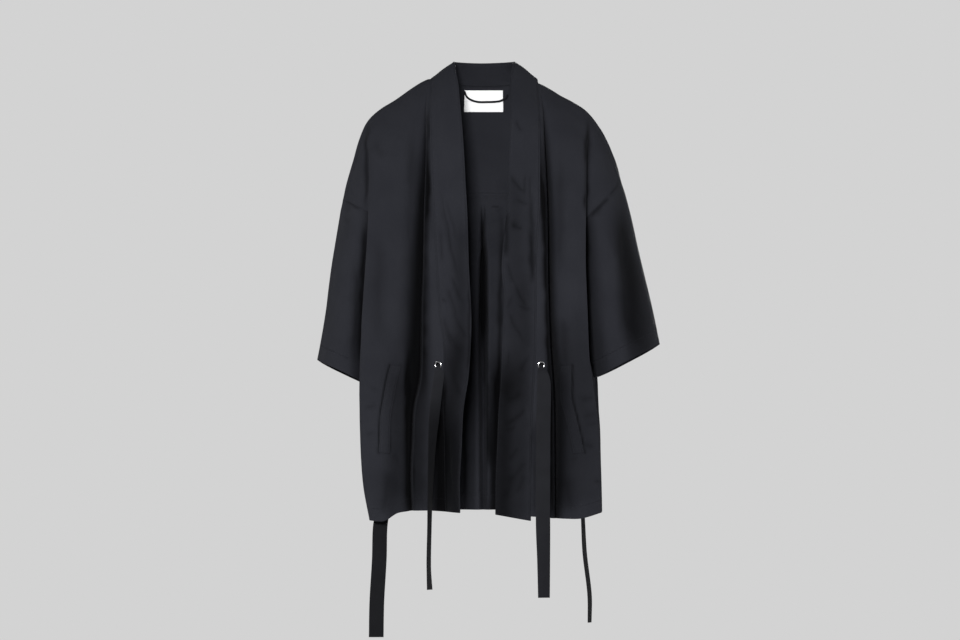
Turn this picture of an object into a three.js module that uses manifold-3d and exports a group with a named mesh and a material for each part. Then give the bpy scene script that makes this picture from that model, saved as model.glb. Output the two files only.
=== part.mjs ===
// Haori shirt: hollow, held at the shoulders, open at the front. Millimetres, +Z up, front toward -Y.
import * as THREE from 'three';
import Module from 'manifold-3d';

const CLOTH = 2.0; // wall of the panels
const BAND = 2.6; // folded neckband
const WELT = 1.4;
const BAG = 1.2;
const RIBBON = 1.2;
const LABEL = 0.8;
const SEAM_TRIM = 0.35; // each piece stops this far from a seam line
const NECK_TRIM = 1.0;
const ARMHOLE_TRIM = 1.0;
const LAID_GAP = 0.9; // between a panel and what lies on it
const SIDE_HEM = -705;
const SIDE_Y = 8; // side seams and the middle of the armholes
const SEAM_DROP = 4.5; // front shoulder seam, in from the shoulder ridge
const SEAM_Y = -15;
const UNDERARM_V = 0.27; // how far down the panels the underarm is
const YOKE_RING_END = -70; // degrees round the armhole where the yoke seam ends
const RIDGE_T = 0.14; // where the yoke passes over the shoulder ridge
const EYELET = { hole: 3.1, barrel: 3.9, flange: 6.5, cut: 4.3, lip: 0.8, play: 0.8 };
const LOOP_RADIUS = 1.6;
const deg = THREE.MathUtils.degToRad;
const V = (x, y, z) => new THREE.Vector3(x, y, z);

// ---------------------------------------------------------------- tables
const FRONT_COLUMNS = [
  'z', 'seamX', 'seamOut', 'lipX', 'lipOut', 'valleyX', 'valleyOut', 'innerX', 'innerOut',
  'crestX', 'crestOut', 'foldX', 'foldOut',
];
const BACK_COLUMNS = ['z', 'midX', 'midOut', 'troughX', 'troughOut', 'crestX', 'crestOut', 'foldX', 'foldOut'];
const SLEEVE_COLUMNS = ['t', 'outX', 'outZ', 'inX', 'inZ', 'frontY', 'backY'];
const BAND_COLUMNS = ['z', 'freeX', 'midOut', 'setBack'];

const LEFT = {
  name: 'left',
  sign: -1,
  shoulder: [
    [86.9, 2.3], [110, -12], [145, -34], [176, -54], [188.7, -67], [197, -85], [205.4, -109.5], [215.8, -143],
    [222, -174], [228.4, -195.6],
  ],
  foldCorner: 188,
  front: [
    [0, 87, 0, 89.5, 0, 93, 0, 102, 0, 150, 0, 188, 0],
    [-60, 88, 3, 90, 3, 94, -13, 105, -4, 148, 0, 187, -8],
    [-140, 86, 4, 89, 4, 95, -28, 108, -7, 148, 4, 186.5, -6],
    [-225, 82, 5, 88.5, 5, 98, -40, 114, -9, 152, 4, 189, -4],
    [-300, 78, 6, 88, 6, 100, -48, 120, -9, 157, 4, 193, -3],
    [-385, 72, 7, 87, 5, 103, -54, 128, -10, 163, 4, 197.5, -3],
    [-445, 65.5, 6, 84, 4, 104, -52, 133, -9, 166, 4, 200, -3],
    [-485, 66, 5, 84, 5, 106, -44, 135, -8, 167, 4, 201.5, -3],
    [-510, 66, 1, 84, 6, 112, -33, 137, -7, 168, 5, 202.5, -3],
    [-540, 66, -22, 85, 6, 116, -30, 138, -7, 168, 5, 202, -3],
    [-575, 65, -38, 87, 6, 118, -30, 140, -6, 168, 5, 201, -4],
    [-660, 63, -42, 90, 6, 120, -30, 141, -7, 165, 5, 194.5, -5],
    [-705, 62, -42, 91, 6, 118, -27, 140, -9, 162, 4, 184, -6],
  ],
  frontHem: [-702.5, -700, -700.5, -704.5, -717, -716],
  back: [
    [-190, 30, 0, 92, 0, 150, 0, 183, -3], [-300, 34, 1, 96, -8, 150, 3, 187, -4],
    [-400, 36, 3, 99, -12, 150, 3, 190, -3], [-520, 36, 8, 103, -14, 152, 4, 196, -3],
    [-705, 36, 9, 106, -12, 150, 3, 182, -5],
  ],
  yokeSeam: [
    [0, -191.5, 94], [60, -192.5, 95.5], [110, -195, 95], [150, -199, 91], [183, -205, 84], [200, -211, 75],
  ],
  side: [[-240, 127], [-300, 123], [-400, 131], [-490, 150], [-560, 161], [-640, 165], [-712, 160]],
  sleeve: [
    [0, 229.2, -195.6, 130, -242, -70, 79],
    [0.25, 238, -250, 134, -296, -76, 82],
    [0.5, 249, -314, 141, -360, -80, 85],
    [0.75, 257.5, -380, 152, -428, -82, 87],
    [1, 271, -456, 170, -503, -84, 88],
  ],
  band: [
    [40, 48, 3, 0], [30.5, 48, 3, 0], [-3, 42, 3, 0], [-34, 39, 3, 0], [-80, 35, 3, 0], [-122, 32, 3, 0],
    [-163, 30, 3, 0], [-226, 26.6, 3, 0], [-300, 24.5, 3, 0], [-341, 22.3, 3, 0], [-403, 20.2, 4, 0],
    [-445, 22.3, 4, 0], [-487, 25.4, 4, 0], [-513, 30, 5, 0], [-548, 34.2, 5, 0], [-590, 36.2, 4, 0],
    [-632, 40, 4, 0], [-710, 39, 4, 0],
  ],
  bandHem: { seam: -702.5, free: -704 },
  eyelet: [74.5, -464],
  welt: { open: [[152, -464.5], [157.5, -486], [163, -517], [168, -549], [170, -606]], wide: 16 },
  bag: { top: -452, bottom: -640 },
};

const RIGHT = {
  name: 'right',
  sign: 1,
  shoulder: [
    [88.3, -5.9], [110, -17.5], [125.8, -26.6], [148.7, -40.1], [166.8, -51.5], [181, -70], [201.8, -104.9],
    [212, -134], [222, -164.8],
  ],
  foldCorner: 167,
  front: [
    [0, 88, 0, 90, 0, 93, 0, 100, 0, 135, 0, 167, 0],
    [-60, 90, 3, 92, 4, 96, -14, 104, -4, 134, 0, 166, -8],
    [-115, 91, 4, 93.5, 5, 99, -28, 108, -6, 135, 2, 166.5, -6],
    [-196, 91, 5, 96.5, 6, 102.5, -40, 112, -7, 137, 2, 167, -4],
    [-290, 86, 6, 97.5, 6, 104.5, -46, 115, -7, 139, 3, 166.5, -3],
    [-383, 85, 6, 99.5, 6, 107, -48, 119, -7, 142, 3, 169.5, -3],
    [-445, 84, 6, 101, 6, 110, -48, 122, -7, 145, 3, 171.5, -3],
    [-520, 80, 5, 103, 4, 115, -46, 129, -8, 152, 4, 181, -3],
    [-600, 77, 4, 103, 3, 116, -42, 132, -8, 157, 4, 188, -3],
    [-705, 76, 4, 103, 2, 116, -36, 132, -8, 158, 3, 190, -4],
  ],
  frontHem: [-709.7, -711.5, -713, -713.5, -713, -703.5],
  back: [
    [-190, 30, 0, 88, 0, 132, 0, 163, -3], [-300, 32, 1, 92, -10, 136, 3, 170, -4],
    [-400, 34, 2, 95, -13, 140, 3, 177, -3], [-500, 32, 8, 97, -13, 146, 4, 187, -3],
    [-610, 32, 11, 98, -12, 150, 4, 190, -3], [-705, 32, 11, 98, -10, 152, 3, 191, -5],
  ],
  yokeSeam: [
    [0, -191.5, 94], [60, -192.5, 95.5], [110, -193.5, 95], [150, -193, 90], [176, -192, 84], [200, -191, 75],
  ],
  side: [[-240, 143], [-290, 140], [-350, 142], [-420, 149], [-490, 159], [-560, 165], [-712, 168]],
  sleeve: [
    [0, 222.6, -164.8, 147, -245, -70, 79],
    [0.25, 236, -214, 149, -292, -76, 82],
    [0.5, 253, -288, 155, -350, -80, 85],
    [0.75, 272, -364, 166, -420, -82, 87],
    [1, 286, -430, 180, -485, -84, 88],
  ],
  band: [
    [40, 47, 3, 0], [30.5, 46.8, 3, 0], [-17, 41.6, 3, 0], [-50, 42.4, 3, 0], [-112, 40.6, 3, 0],
    [-155, 38.5, 3, 0], [-196, 37.5, 3, 0], [-248, 33.6, 3, 0], [-285, 29.3, 3, 0], [-311, 28.5, 3, 0],
    [-345, 32.6, 3, 0], [-404, 30.5, 4, 2], [-466, 28.5, 5, 5], [-518, 25.3, 7, 12], [-569, 22.2, 9, 18],
    [-632, 20.2, 9, 22], [-694, 17.9, 9, 24], [-710, 19.1, 9, 24],
  ],
  bandHem: { seam: -717, free: -707 },
  eyelet: [92.9, -464],
  welt: { open: [[142, -464.5], [142.5, -513], [150, -549], [157, -580], [162, -606]], wide: 16 },
  bag: { top: -452, bottom: -640 },
};

// How far the cloth stands off the shoulder ridge, by the drop below it.
const FRONT_PROFILE = [
  [-40, 0], [0, -3], [7, -15], [20, -33], [40, -51], [70, -68], [110, -82], [160, -93], [240, -103], [350, -109],
  [500, -113], [740, -115],
];
const BACK_PROFILE = [[-190, 94], [-250, 101], [-350, 107], [-500, 110], [-720, 112]];
const BAND_PROFILE = [
  [32, -4], [27, -12], [15, -28], [-2, -46], [-35, -69], [-70, -84], [-105, -94], [-160, -103], [-225, -108],
  [-300, -112], [-400, -116], [-520, -119], [-720, -121],
];
const BAND_LIFT = [[0, 31], [0.03, 33], [0.06, 33], [0.1, 29], [0.15, 22], [0.2, 15], [0.27, 6], [0.35, 0], [1, 0]];
const PLEAT_COLUMNS = ['z', 'edgeX', 'edgeOut', 'floorX', 'floorOut', 'ridgeOut'];
const PLEAT = [
  [-190, 4, 0, 2, 0, 0], [-214, 5, -2, 2.5, 10, 14], [-261, 6.5, -4, 3, 20, 27], [-326, 8.5, -5, 3.5, 23, 30],
  [-372, 9, -6, 4, 22, 28], [-445, 9, -8, 3.5, 8, 12], [-522, 9, -9, 3, 4, 8], [-620, 9, -10, 3, 5, 9],
  [-705, 9, -9, 3, 5, 9],
];
const PLEAT_CENTRE = -1.5;
// The way back from an outer fold to the side seam: nested in front of and behind the sleeve, open below it.
const RETURN = [
  { k: 0.16, tuck: 7, back: 9, beside: null, deep: [], clear: 10, openIn: 0.06, openDeep: 0.88 },
  { k: 0.48, tuck: 0, back: 3, beside: 26, deep: [92, 101], clear: 10, openIn: 0.28, openDeep: 0.68 },
  { k: 0.8, tuck: 0, back: 2, beside: 2, deep: [50, 62], clear: 5, openIn: 0.65, openDeep: 0.36 },
];
// Neck edge of the yoke, free edge of the band over it and the yoke's seam below, from a shoulder to the middle
// back: seam x, y, z, free x, y, z, yoke x.
const NECK = [
  [86.5, 4, 0.5, 48, 4, 29, 90],
  [78, 33, -4, 45.5, 23, 29.2, 75],
  [48, 60, -9, 29, 39, 28.4, 45],
  [0, 72, -11, 0, 46, 27.6, 0],
];
const FRONT_ROWS = [
  0, 0.025, 0.055, 0.09, 0.13, 0.17, 0.21, 0.245, 0.27, 0.31, 0.37, 0.43, 0.49, 0.555, 0.62, 0.69, 0.76, 0.84,
  0.92, 1,
];
// Shares of the way across and down where the strip beside the band leaves its seam, where the deep fold turns
// under its lip, and where it climbs out again.
const FOLD_TUCK = { across: 0.45, deep: 0.1, from: 0 };
const FOLD_TURN = { across: 0.78, deep: 0.3, from: 1 };
const FOLD_WALL = { across: 0.3, deep: 0.45, from: 2 };
const FRONT_SAMPLES = [
  0, 0.5, 1, 1.5, 2, 2.5, 3, 3.5, 4, 4.5, 5, 5.5, 6, 6.33, 6.67, 7, 7.3, 7.6, 7.85, 8, 8.3, 8.65, 9, 9.5, 10,
  10.5, 11, 11.5, 12,
];
const BAG_SAMPLES = { first: 6, last: 7.6 }; // from the inner crest to short of the outer fold
const NECK_START = 8; // column of the yoke's grid at the end of the neck edge
// The hollow down the front of a sleeve, behind the body's outer fold.
const DENT = { outside: -7, width: 15, depth: { left: 20, right: 12 }, from: 40, full: 70 };
const CUFF_DROP = 5;
const BACK_ROWS = [0, 0.022, 0.055, 0.095, 0.145, 0.2, 0.26, 0.34, 0.42, 0.5, 0.58, 0.66, 0.74, 0.82, 0.91, 1];
const BACK_UNDERARM = 0.2;
const YOKE_ROWS = [0, 0.07, RIDGE_T, 0.26, 0.42, 0.6, 0.8, 1];

// ---------------------------------------------------------------- helpers
/** Monotone cubic through the rows of a table, for the named columns after the first. */
function tracks(columns, rows) {
  const sorted = [...rows].sort((a, b) => a[0] - b[0]);
  const keys = sorted.map((row) => row[0]);
  const found = {};
  columns.slice(1).forEach((name, i) => {
    found[name] = monotone(keys, sorted.map((row) => row[i + 1]));
  });
  return found;
}

function monotone(xs, ys) {
  const n = xs.length;
  const step = [];
  for (let i = 0; i < n - 1; i += 1) {
    step.push((ys[i + 1] - ys[i]) / (xs[i + 1] - xs[i]));
  }
  const slope = [step[0]];
  for (let i = 1; i < n - 1; i += 1) {
    const same = step[i - 1] * step[i] > 0;
    slope.push(same ? (2 * step[i - 1] * step[i]) / (step[i - 1] + step[i]) : 0);
  }
  slope.push(step[n - 2]);
  return (x) => {
    const at = THREE.MathUtils.clamp(x, xs[0], xs[n - 1]);
    let i = 0;
    while (i < n - 2 && at > xs[i + 1]) {
      i += 1;
    }
    const h = xs[i + 1] - xs[i];
    const t = (at - xs[i]) / h;
    const t2 = t * t;
    const t3 = t2 * t;
    return ys[i] * (2 * t3 - 3 * t2 + 1) + h * slope[i] * (t3 - 2 * t2 + t)
      + ys[i + 1] * (3 * t2 - 2 * t3) + h * slope[i + 1] * (t3 - t2);
  };
}

const single = (rows) => tracks(['key', 'value'], rows).value;
const smooth = (a, b, x) => THREE.MathUtils.smoothstep(x, a, b);
const mix = THREE.MathUtils.lerp;

/** Smooth curve through the points; whole numbers of t are the points. */
function along(points) {
  const curve = new THREE.CatmullRomCurve3(points, false, 'centripetal');
  return (t) => curve.getPoint(t / (points.length - 1));
}

function hermite(a, ta, b, tb, t) {
  const t2 = t * t;
  const t3 = t2 * t;
  return a.clone().multiplyScalar(2 * t3 - 3 * t2 + 1)
    .addScaledVector(ta, t3 - 2 * t2 + t)
    .addScaledVector(b, 3 * t2 - 2 * t3)
    .addScaledVector(tb, t3 - t2);
}

/** The values that lie at x between points in order of x. */
function chain(points, values = points) {
  return (x) => {
    let i = 0;
    while (i < points.length - 2 && points[i + 1].x < x) {
      i += 1;
    }
    const t = THREE.MathUtils.clamp((x - points[i].x) / (points[i + 1].x - points[i].x), 0, 1);
    return values[i].clone().lerp(values[i + 1], t);
  };
}

/** Unit normals of a grid of points, summed over the quads that meet at each. */
function gridNormals(grid, closed) {
  const rows = grid.length;
  const cols = grid[0].length;
  const normals = grid.map((row) => row.map(() => V(0, 0, 0)));
  const last = closed ? cols : cols - 1;
  for (let r = 0; r < rows - 1; r += 1) {
    for (let c = 0; c < last; c += 1) {
      const d = (c + 1) % cols;
      const across = grid[r + 1][d].clone().sub(grid[r][c]);
      const down = grid[r + 1][c].clone().sub(grid[r][d]);
      const n = across.cross(down);
      for (const [i, j] of [[r, c], [r, d], [r + 1, c], [r + 1, d]]) {
        normals[i][j].add(n);
      }
    }
  }
  normals.forEach((row) => row.forEach((n) => n.normalize()));
  return normals;
}

/** A cloth wall of even thickness on a grid of mid points; closed joins the last column to the first.
 * seamNormal gives the wall's direction in its first row, where a neighbour shares it. */
function wall(grid, thickness, closed = false, seamNormal = null) {
  const rows = grid.length;
  const cols = grid[0].length;
  const normals = gridNormals(grid, closed);
  if (seamNormal) {
    grid[0].forEach((p, c) => {
      const shared = seamNormal(p);
      if (shared) {
        normals[0][c].copy(shared.multiplyScalar(Math.sign(shared.dot(normals[0][c])) || 1));
      }
    });
  }
  const points = [];
  for (const side of [0.5, -0.5]) {
    grid.forEach((row, r) => row.forEach((p, c) => {
      points.push(p.clone().addScaledVector(normals[r][c], side * thickness));
    }));
  }
  const id = (s, r, c) => s * rows * cols + r * cols + (c % cols);
  const faces = [];
  const quad = (a, b, c, d) => faces.push(a, b, c, a, c, d);
  const last = closed ? cols : cols - 1;
  for (let r = 0; r < rows - 1; r += 1) {
    for (let c = 0; c < last; c += 1) {
      quad(id(0, r, c), id(0, r + 1, c), id(0, r + 1, c + 1), id(0, r, c + 1));
      quad(id(1, r, c), id(1, r, c + 1), id(1, r + 1, c + 1), id(1, r + 1, c));
    }
  }
  for (let c = 0; c < last; c += 1) {
    quad(id(0, 0, c), id(0, 0, c + 1), id(1, 0, c + 1), id(1, 0, c));
    quad(id(0, rows - 1, c), id(1, rows - 1, c), id(1, rows - 1, c + 1), id(0, rows - 1, c + 1));
  }
  if (!closed) {
    for (let r = 0; r < rows - 1; r += 1) {
      quad(id(0, r, 0), id(1, r, 0), id(1, r + 1, 0), id(0, r + 1, 0));
      quad(id(0, r, cols - 1), id(0, r + 1, cols - 1), id(1, r + 1, cols - 1), id(1, r, cols - 1));
    }
  }
  return solid(points, faces);
}

/** Geometry with its faces turned outward. */
function solid(points, faces) {
  let volume = 0;
  for (let i = 0; i < faces.length; i += 3) {
    const [a, b, c] = [points[faces[i]], points[faces[i + 1]], points[faces[i + 2]]];
    volume += a.dot(b.clone().cross(c));
  }
  const index = [...faces];
  if (volume < 0) {
    for (let i = 0; i < index.length; i += 3) {
      [index[i + 1], index[i + 2]] = [index[i + 2], index[i + 1]];
    }
  }
  const geometry = new THREE.BufferGeometry();
  geometry.setAttribute('position', new THREE.Float32BufferAttribute(points.flatMap((p) => p.toArray()), 3));
  geometry.setIndex(index);
  geometry.computeVertexNormals();
  return geometry;
}

/** Moves the outer rows or columns of a grid toward their neighbours. */
function trimmed(grid, trims) {
  const rows = grid.length;
  const cols = grid[0].length;
  const out = grid.map((row) => row.map((p) => p.clone()));
  const pull = (r, c, r2, c2, by) => {
    const way = grid[r2][c2].clone().sub(grid[r][c]).normalize();
    out[r][c].addScaledVector(way, by);
  };
  for (let c = 0; c < cols; c += 1) {
    pull(0, c, 1, c, trims.top ?? 0);
    pull(rows - 1, c, rows - 2, c, trims.bottom ?? 0);
  }
  for (let r = 0; r < rows; r += 1) {
    pull(r, 0, r, 1, trims.start ?? 0);
    pull(r, cols - 1, r, cols - 2, trims.end ?? 0);
  }
  return out;
}

// ---------------------------------------------------------------- shapes of one side
/** The curves and functions that both the front and the back of one side are worked out from. */
function sideShape(side) {
  const { sign } = side;
  const ridgeZ = single(side.shoulder);
  const ridgeCurve = along(side.shoulder.map(([x, z]) => V(sign * x, 0, z)));
  const steps = side.shoulder.length - 1;
  const ridge = (s) => ridgeCurve(s * steps);
  /** How far along the shoulder ridge it is at x from the middle. */
  const ridgeAt = (x) => {
    let s = 0;
    while (s < 1 && Math.abs(ridge(s).x) < x) {
      s += 0.002;
    }
    return Math.min(s, 1);
  };
  const seamLine = (s) => {
    const ahead = ridge(Math.min(s + 0.01, 1)).sub(ridge(Math.max(s - 0.01, 0))).normalize();
    const inward = V(sign * ahead.z, 0, -Math.abs(ahead.x)).normalize();
    return ridge(s).addScaledVector(inward, SEAM_DROP).setY(SEAM_Y);
  };
  /** The direction through the cloth at the front shoulder seam, the same for both pieces sewn there. */
  const seamNormal = (p) => {
    const s = ridgeAt(Math.abs(p.x));
    const tangent = seamLine(Math.min(s + 0.02, 1)).sub(seamLine(Math.max(s - 0.02, 0))).normalize();
    const down = seamLine(s).sub(ridge(s)).setY(0).setLength(12).setY(SEAM_Y);
    return tangent.cross(down).normalize();
  };
  const foldS = ridgeAt(side.foldCorner);
  const sleeve = tracks(SLEEVE_COLUMNS, side.sleeve);
  /** A point of the sleeve's ring at t down the sleeve: 0 degrees outside, 90 front, 180 inside. */
  const ring = (t, angle, grow = 0) => {
    const a = deg(angle);
    const outer = V(sign * sleeve.outX(t), 0, sleeve.outZ(t));
    const inner = V(sign * sleeve.inX(t), 0, sleeve.inZ(t));
    const middle = outer.clone().add(inner).multiplyScalar(0.5);
    const way = outer.clone().sub(inner);
    const half = way.length() / 2 + grow;
    way.normalize();
    const depth = (Math.sin(a) > 0 ? SIDE_Y - sleeve.frontY(t) : sleeve.backY(t) - SIDE_Y) + grow;
    return middle.addScaledVector(way, half * Math.cos(a)).setY(SIDE_Y - depth * Math.sin(a));
  };
  const seamAngle = THREE.MathUtils.radToDeg(Math.asin((SIDE_Y - SEAM_Y) / (SIDE_Y - side.sleeve[0][5])));
  /** The body's edge at the armhole: it stands outside the sleeve where the two run side by side. */
  const armhole = (angle) => ring(0, angle, (CLOTH + 1.6) * smooth(60, 130, Math.abs(angle)));
  const sideX = single(side.side);
  const underarm = armhole(180);
  const yokeLine = tracks(['x', 'z', 'y'], side.yokeSeam);
  return { ...side, ridgeZ, ridge, ridgeAt, foldS, seamLine, seamNormal, ring, armhole, seamAngle, sideX, underarm, yokeLine };
}

/** The last four points of a row: the outer fold's return behind, and the armhole or side seam. */
function returnPoints(shape, fold, atTop, v, underV, angle, face) {
  const { sign } = shape;
  const start = face < 0 ? 0.5 : 0.02;
  const low = smooth(underV * start, underV * (face < 0 ? 0.95 : 0.5), v);
  const tucked = smooth(0, underV * 0.5, v);
  let edge = shape.armhole(angle);
  if (v > underV) {
    const z = mix(shape.underarm.z, SIDE_HEM, (v - underV) / (1 - underV));
    const near = smooth(shape.underarm.z - 30, shape.underarm.z, z);
    edge = V(mix(sign * shape.sideX(z), shape.underarm.x, near), SIDE_Y, z);
  }
  const points = RETURN.map(({ k, tuck, back, beside, deep, clear, openIn, openDeep }) => {
    const chord = atTop(0).lerp(atTop(1), k);
    const bulge = atTop(k).sub(chord).multiplyScalar(1 - smooth(0, underV, v));
    const high = fold.clone().lerp(edge, k).add(bulge);
    high.x -= sign * tuck * tucked;
    high.y -= face * back * tucked;
    const z = mix(fold.z, edge.z, k);
    const foldX = Math.abs(fold.x);
    const sideX = Math.abs(edge.x);
    const open = 1 - smooth(-570, -500, z);
    const x = mix(Math.min(beside === null ? foldX - 7 : sideX + beside, foldX - 5), mix(foldX, sideX, openIn), open);
    const behind = Math.abs(fold.y) - (face < 0 ? 10 : 4);
    const nested = Math.min(Math.max(deep[face < 0 ? 0 : 1] ?? behind, face * edge.y + clear), behind);
    high.y = face * Math.max(face * high.y, nested * tucked * 0.5 + face * high.y * (1 - tucked * 0.5));
    return high.lerp(V(sign * x, face * mix(nested, openDeep * Math.abs(fold.y), open), z), low);
  });
  return [...points, edge];
}

// ---------------------------------------------------------------- front panels
/** One row of the front panel: band seam, lip, valley, two crests, the outer fold and its return. */
function frontRow(shape, v) {
  const lines = tracks(FRONT_COLUMNS, shape.front);
  const profile = single(FRONT_PROFILE);
  const names = ['seam', 'lip', 'valley', 'inner', 'crest', 'fold'];
  const row = names.map((name, i) => {
    const topX = lines[`${name}X`](-10);
    const top = shape.seamLine(name === 'fold' ? shape.foldS : shape.ridgeAt(topX));
    const z = mix(top.z, shape.frontHem[i], v);
    const x = mix(Math.abs(top.x), lines[`${name}X`](z), smooth(0, 0.05, v));
    const out = lines[`${name}Out`](z) * smooth(0, 0.06, v);
    const y = profile(shape.ridgeZ(x) - z) - out;
    return V(shape.sign * x, v === 0 ? top.y : y, z);
  });
  const atTop = (k) => (k === 1 ? shape.armhole(shape.seamAngle) : shape.seamLine(mix(shape.foldS, 1, k)));
  const angle = mix(shape.seamAngle, 180, Math.min(v / UNDERARM_V, 1));
  const behind = returnPoints(shape, row[5], atTop, v, UNDERARM_V, angle, -1);
  const between = ({ across, deep, from }) => {
    const [a, b] = [row[from], row[from + 1]];
    return V(mix(a.x, b.x, across), mix(a.y, b.y, deep), mix(a.z, b.z, across));
  };
  return [
    row[0], between(FOLD_TUCK), row[1], between(FOLD_TURN), row[2], between(FOLD_WALL), ...row.slice(3), ...behind,
  ];
}

function frontGrid(shape, yokeTop) {
  const middle = (yokeTop.length - 1) / 2;
  const half = shape.sign < 0 ? yokeTop.slice(0, NECK_START + 1) : yokeTop.slice(2 * middle - NECK_START);
  const onShoulder = chain(half);
  return FRONT_ROWS.map((v) => {
    const curve = along(frontRow(shape, v));
    return FRONT_SAMPLES.map((u) => (v === 0 ? onShoulder(curve(u).x) : curve(u)));
  });
}

// ---------------------------------------------------------------- back panel
/** Half a row of the back, from the middle out to the armhole or side seam. */
function backHalf(shape, v, onSeam) {
  const lines = tracks(BACK_COLUMNS, shape.back);
  const base = single(BACK_PROFILE);
  const names = ['mid', 'trough', 'crest', 'fold'];
  const row = names.map((name) => {
    const top = onSeam(shape.sign * lines[`${name}X`](-190));
    const z = mix(top.z, name === 'fold' ? -705 : -702, v);
    const x = mix(Math.abs(top.x), lines[`${name}X`](z), smooth(0, 0.05, v));
    const y = base(z) + lines[`${name}Out`](z);
    return V(shape.sign * x, mix(top.y, y, smooth(0, 0.12, v)), z);
  });
  const end = shape.armhole(YOKE_RING_END);
  const foldX = lines.foldX(-190);
  const atTop = (k) => (k === 1 ? end.clone() : onSeam(mix(shape.sign * foldX, end.x, k)));
  const angle = mix(YOKE_RING_END, -180, Math.min(v / BACK_UNDERARM, 1));
  row.push(...returnPoints(shape, row[3], atTop, v, BACK_UNDERARM, angle, 1));
  return row;
}

function pleatPoints(v, onSeam) {
  const lines = tracks(PLEAT_COLUMNS, PLEAT);
  const base = single(BACK_PROFILE);
  const z = mix(onSeam(PLEAT_CENTRE).z, -702, v);
  const blend = smooth(0, 0.12, v);
  const at = (x, out) => {
    const top = onSeam(PLEAT_CENTRE + x);
    return V(PLEAT_CENTRE + x, mix(top.y, base(z) + out, blend), v === 0 ? top.z : z);
  };
  return [
    at(-lines.edgeX(z), lines.edgeOut(z)),
    at(-lines.floorX(z), lines.floorOut(z)),
    at(0, lines.ridgeOut(z)),
    at(lines.floorX(z), lines.floorOut(z)),
    at(lines.edgeX(z), lines.edgeOut(z)),
  ];
}

const HALF_SAMPLES = [0, 0.5, 1, 1.5, 2, 2.5, 3, 3.33, 3.67, 4, 4.3, 4.65, 5, 5.5, 6, 6.5, 7, 7.5];

function backGrid(left, right, yokeHem) {
  const onSeam = chain(yokeHem);
  const span = 20;
  const samples = [...HALF_SAMPLES, 8, 9, 10, 11, 12, ...HALF_SAMPLES.map((u) => span - u).reverse()];
  return BACK_ROWS.map((v) => {
    const points = [
      ...backHalf(left, v, onSeam).reverse(), ...pleatPoints(v, onSeam), ...backHalf(right, v, onSeam),
    ];
    const curve = along(points);
    return samples.map((u) => (v === 0 ? onSeam(curve(u).x) : curve(u)));
  });
}

// ---------------------------------------------------------------- yoke
const yokeBottom = (shape, x) => V(shape.sign * x, shape.yokeLine.y(x), shape.yokeLine.z(x));

/** Column of the yoke that laps over the shoulder at s along it. */
function shoulderColumn(shape, s, t) {
  const ridge = shape.ridge(s);
  if (s === 0) {
    ridge.x += shape.sign * 5;
    ridge.z -= 2;
  }
  if (t <= RIDGE_T) {
    const front = shape.seamLine(s);
    const rise = V(0, 14, s > 0.6 ? 3 : 9);
    return hermite(front, rise, ridge, V(0, 16, 0), t / RIDGE_T);
  }
  const armX = Math.abs(shape.armhole(YOKE_RING_END).x);
  const bottomX = s === 0 ? 103 : mix(Math.abs(ridge.x), armX, smooth(shape.foldS * 0.4, 1, s) * 0.9);
  const bottom = yokeBottom(shape, bottomX);
  const drop = ridge.z - bottom.z;
  return hermite(ridge, V(0, 130, 0), bottom, V(0, 10, -drop * 1.15), (t - RIDGE_T) / (1 - RIDGE_T));
}

function neckColumn(shape, row, t) {
  const { sign } = shape;
  const [seamX, seamY, seamZ, , , , yokeX] = row;
  const start = V(sign * seamX, seamY, seamZ);
  const bottom = yokeBottom(shape, yokeX);
  const flat = 1 - smooth(0, 72, seamY);
  return hermite(
    start, V(sign * 12 * flat, mix(26, 150, flat), mix(-150, -40, flat)), bottom, V(0, 12, -180), t,
  );
}

function armColumn(shape, t) {
  const angle = t <= RIDGE_T
    ? mix(shape.seamAngle, 0, t / RIDGE_T)
    : mix(0, YOKE_RING_END, (t - RIDGE_T) / (1 - RIDGE_T));
  return shape.armhole(angle);
}

function yokeGrid(left, right) {
  const half = (shape) => {
    const { foldS } = shape;
    return [
      (t) => armColumn(shape, t),
      (t) => shoulderColumn(shape, mix(foldS, 1, 0.55), t),
      (t) => shoulderColumn(shape, foldS, t),
      (t) => shoulderColumn(shape, foldS * 0.5, t),
      (t) => shoulderColumn(shape, 0, t),
      ...NECK.slice(0, 3).map((row) => (t) => neckColumn(shape, row, t)),
    ];
  };
  const columns = [
    ...half(left),
    (t) => neckColumn(right, NECK[3], t),
    ...half(right).reverse(),
  ];
  const samples = [];
  for (let i = 0; i < columns.length - 1; i += 1) {
    samples.push(i, i + 0.5);
  }
  samples.push(columns.length - 1);
  return YOKE_ROWS.map((t) => {
    const curve = along(columns.map((column) => column(t)));
    return samples.map((u) => curve(u));
  });
}

// ---------------------------------------------------------------- sleeves
function sleeveAngles(shape) {
  const front = FRONT_ROWS.filter((v) => v <= UNDERARM_V).map((v) => mix(shape.seamAngle, 180, v / UNDERARM_V));
  const back = BACK_ROWS.filter((v) => v < BACK_UNDERARM)
    .map((v) => mix(YOKE_RING_END, -180, v / BACK_UNDERARM)).reverse();
  const yoke = YOKE_ROWS.slice(1, -1).map((t) => (t <= RIDGE_T
    ? mix(shape.seamAngle, 0, t / RIDGE_T)
    : mix(0, YOKE_RING_END, (t - RIDGE_T) / (1 - RIDGE_T)))).reverse();
  return [...front, ...back, ...yoke];
}

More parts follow.
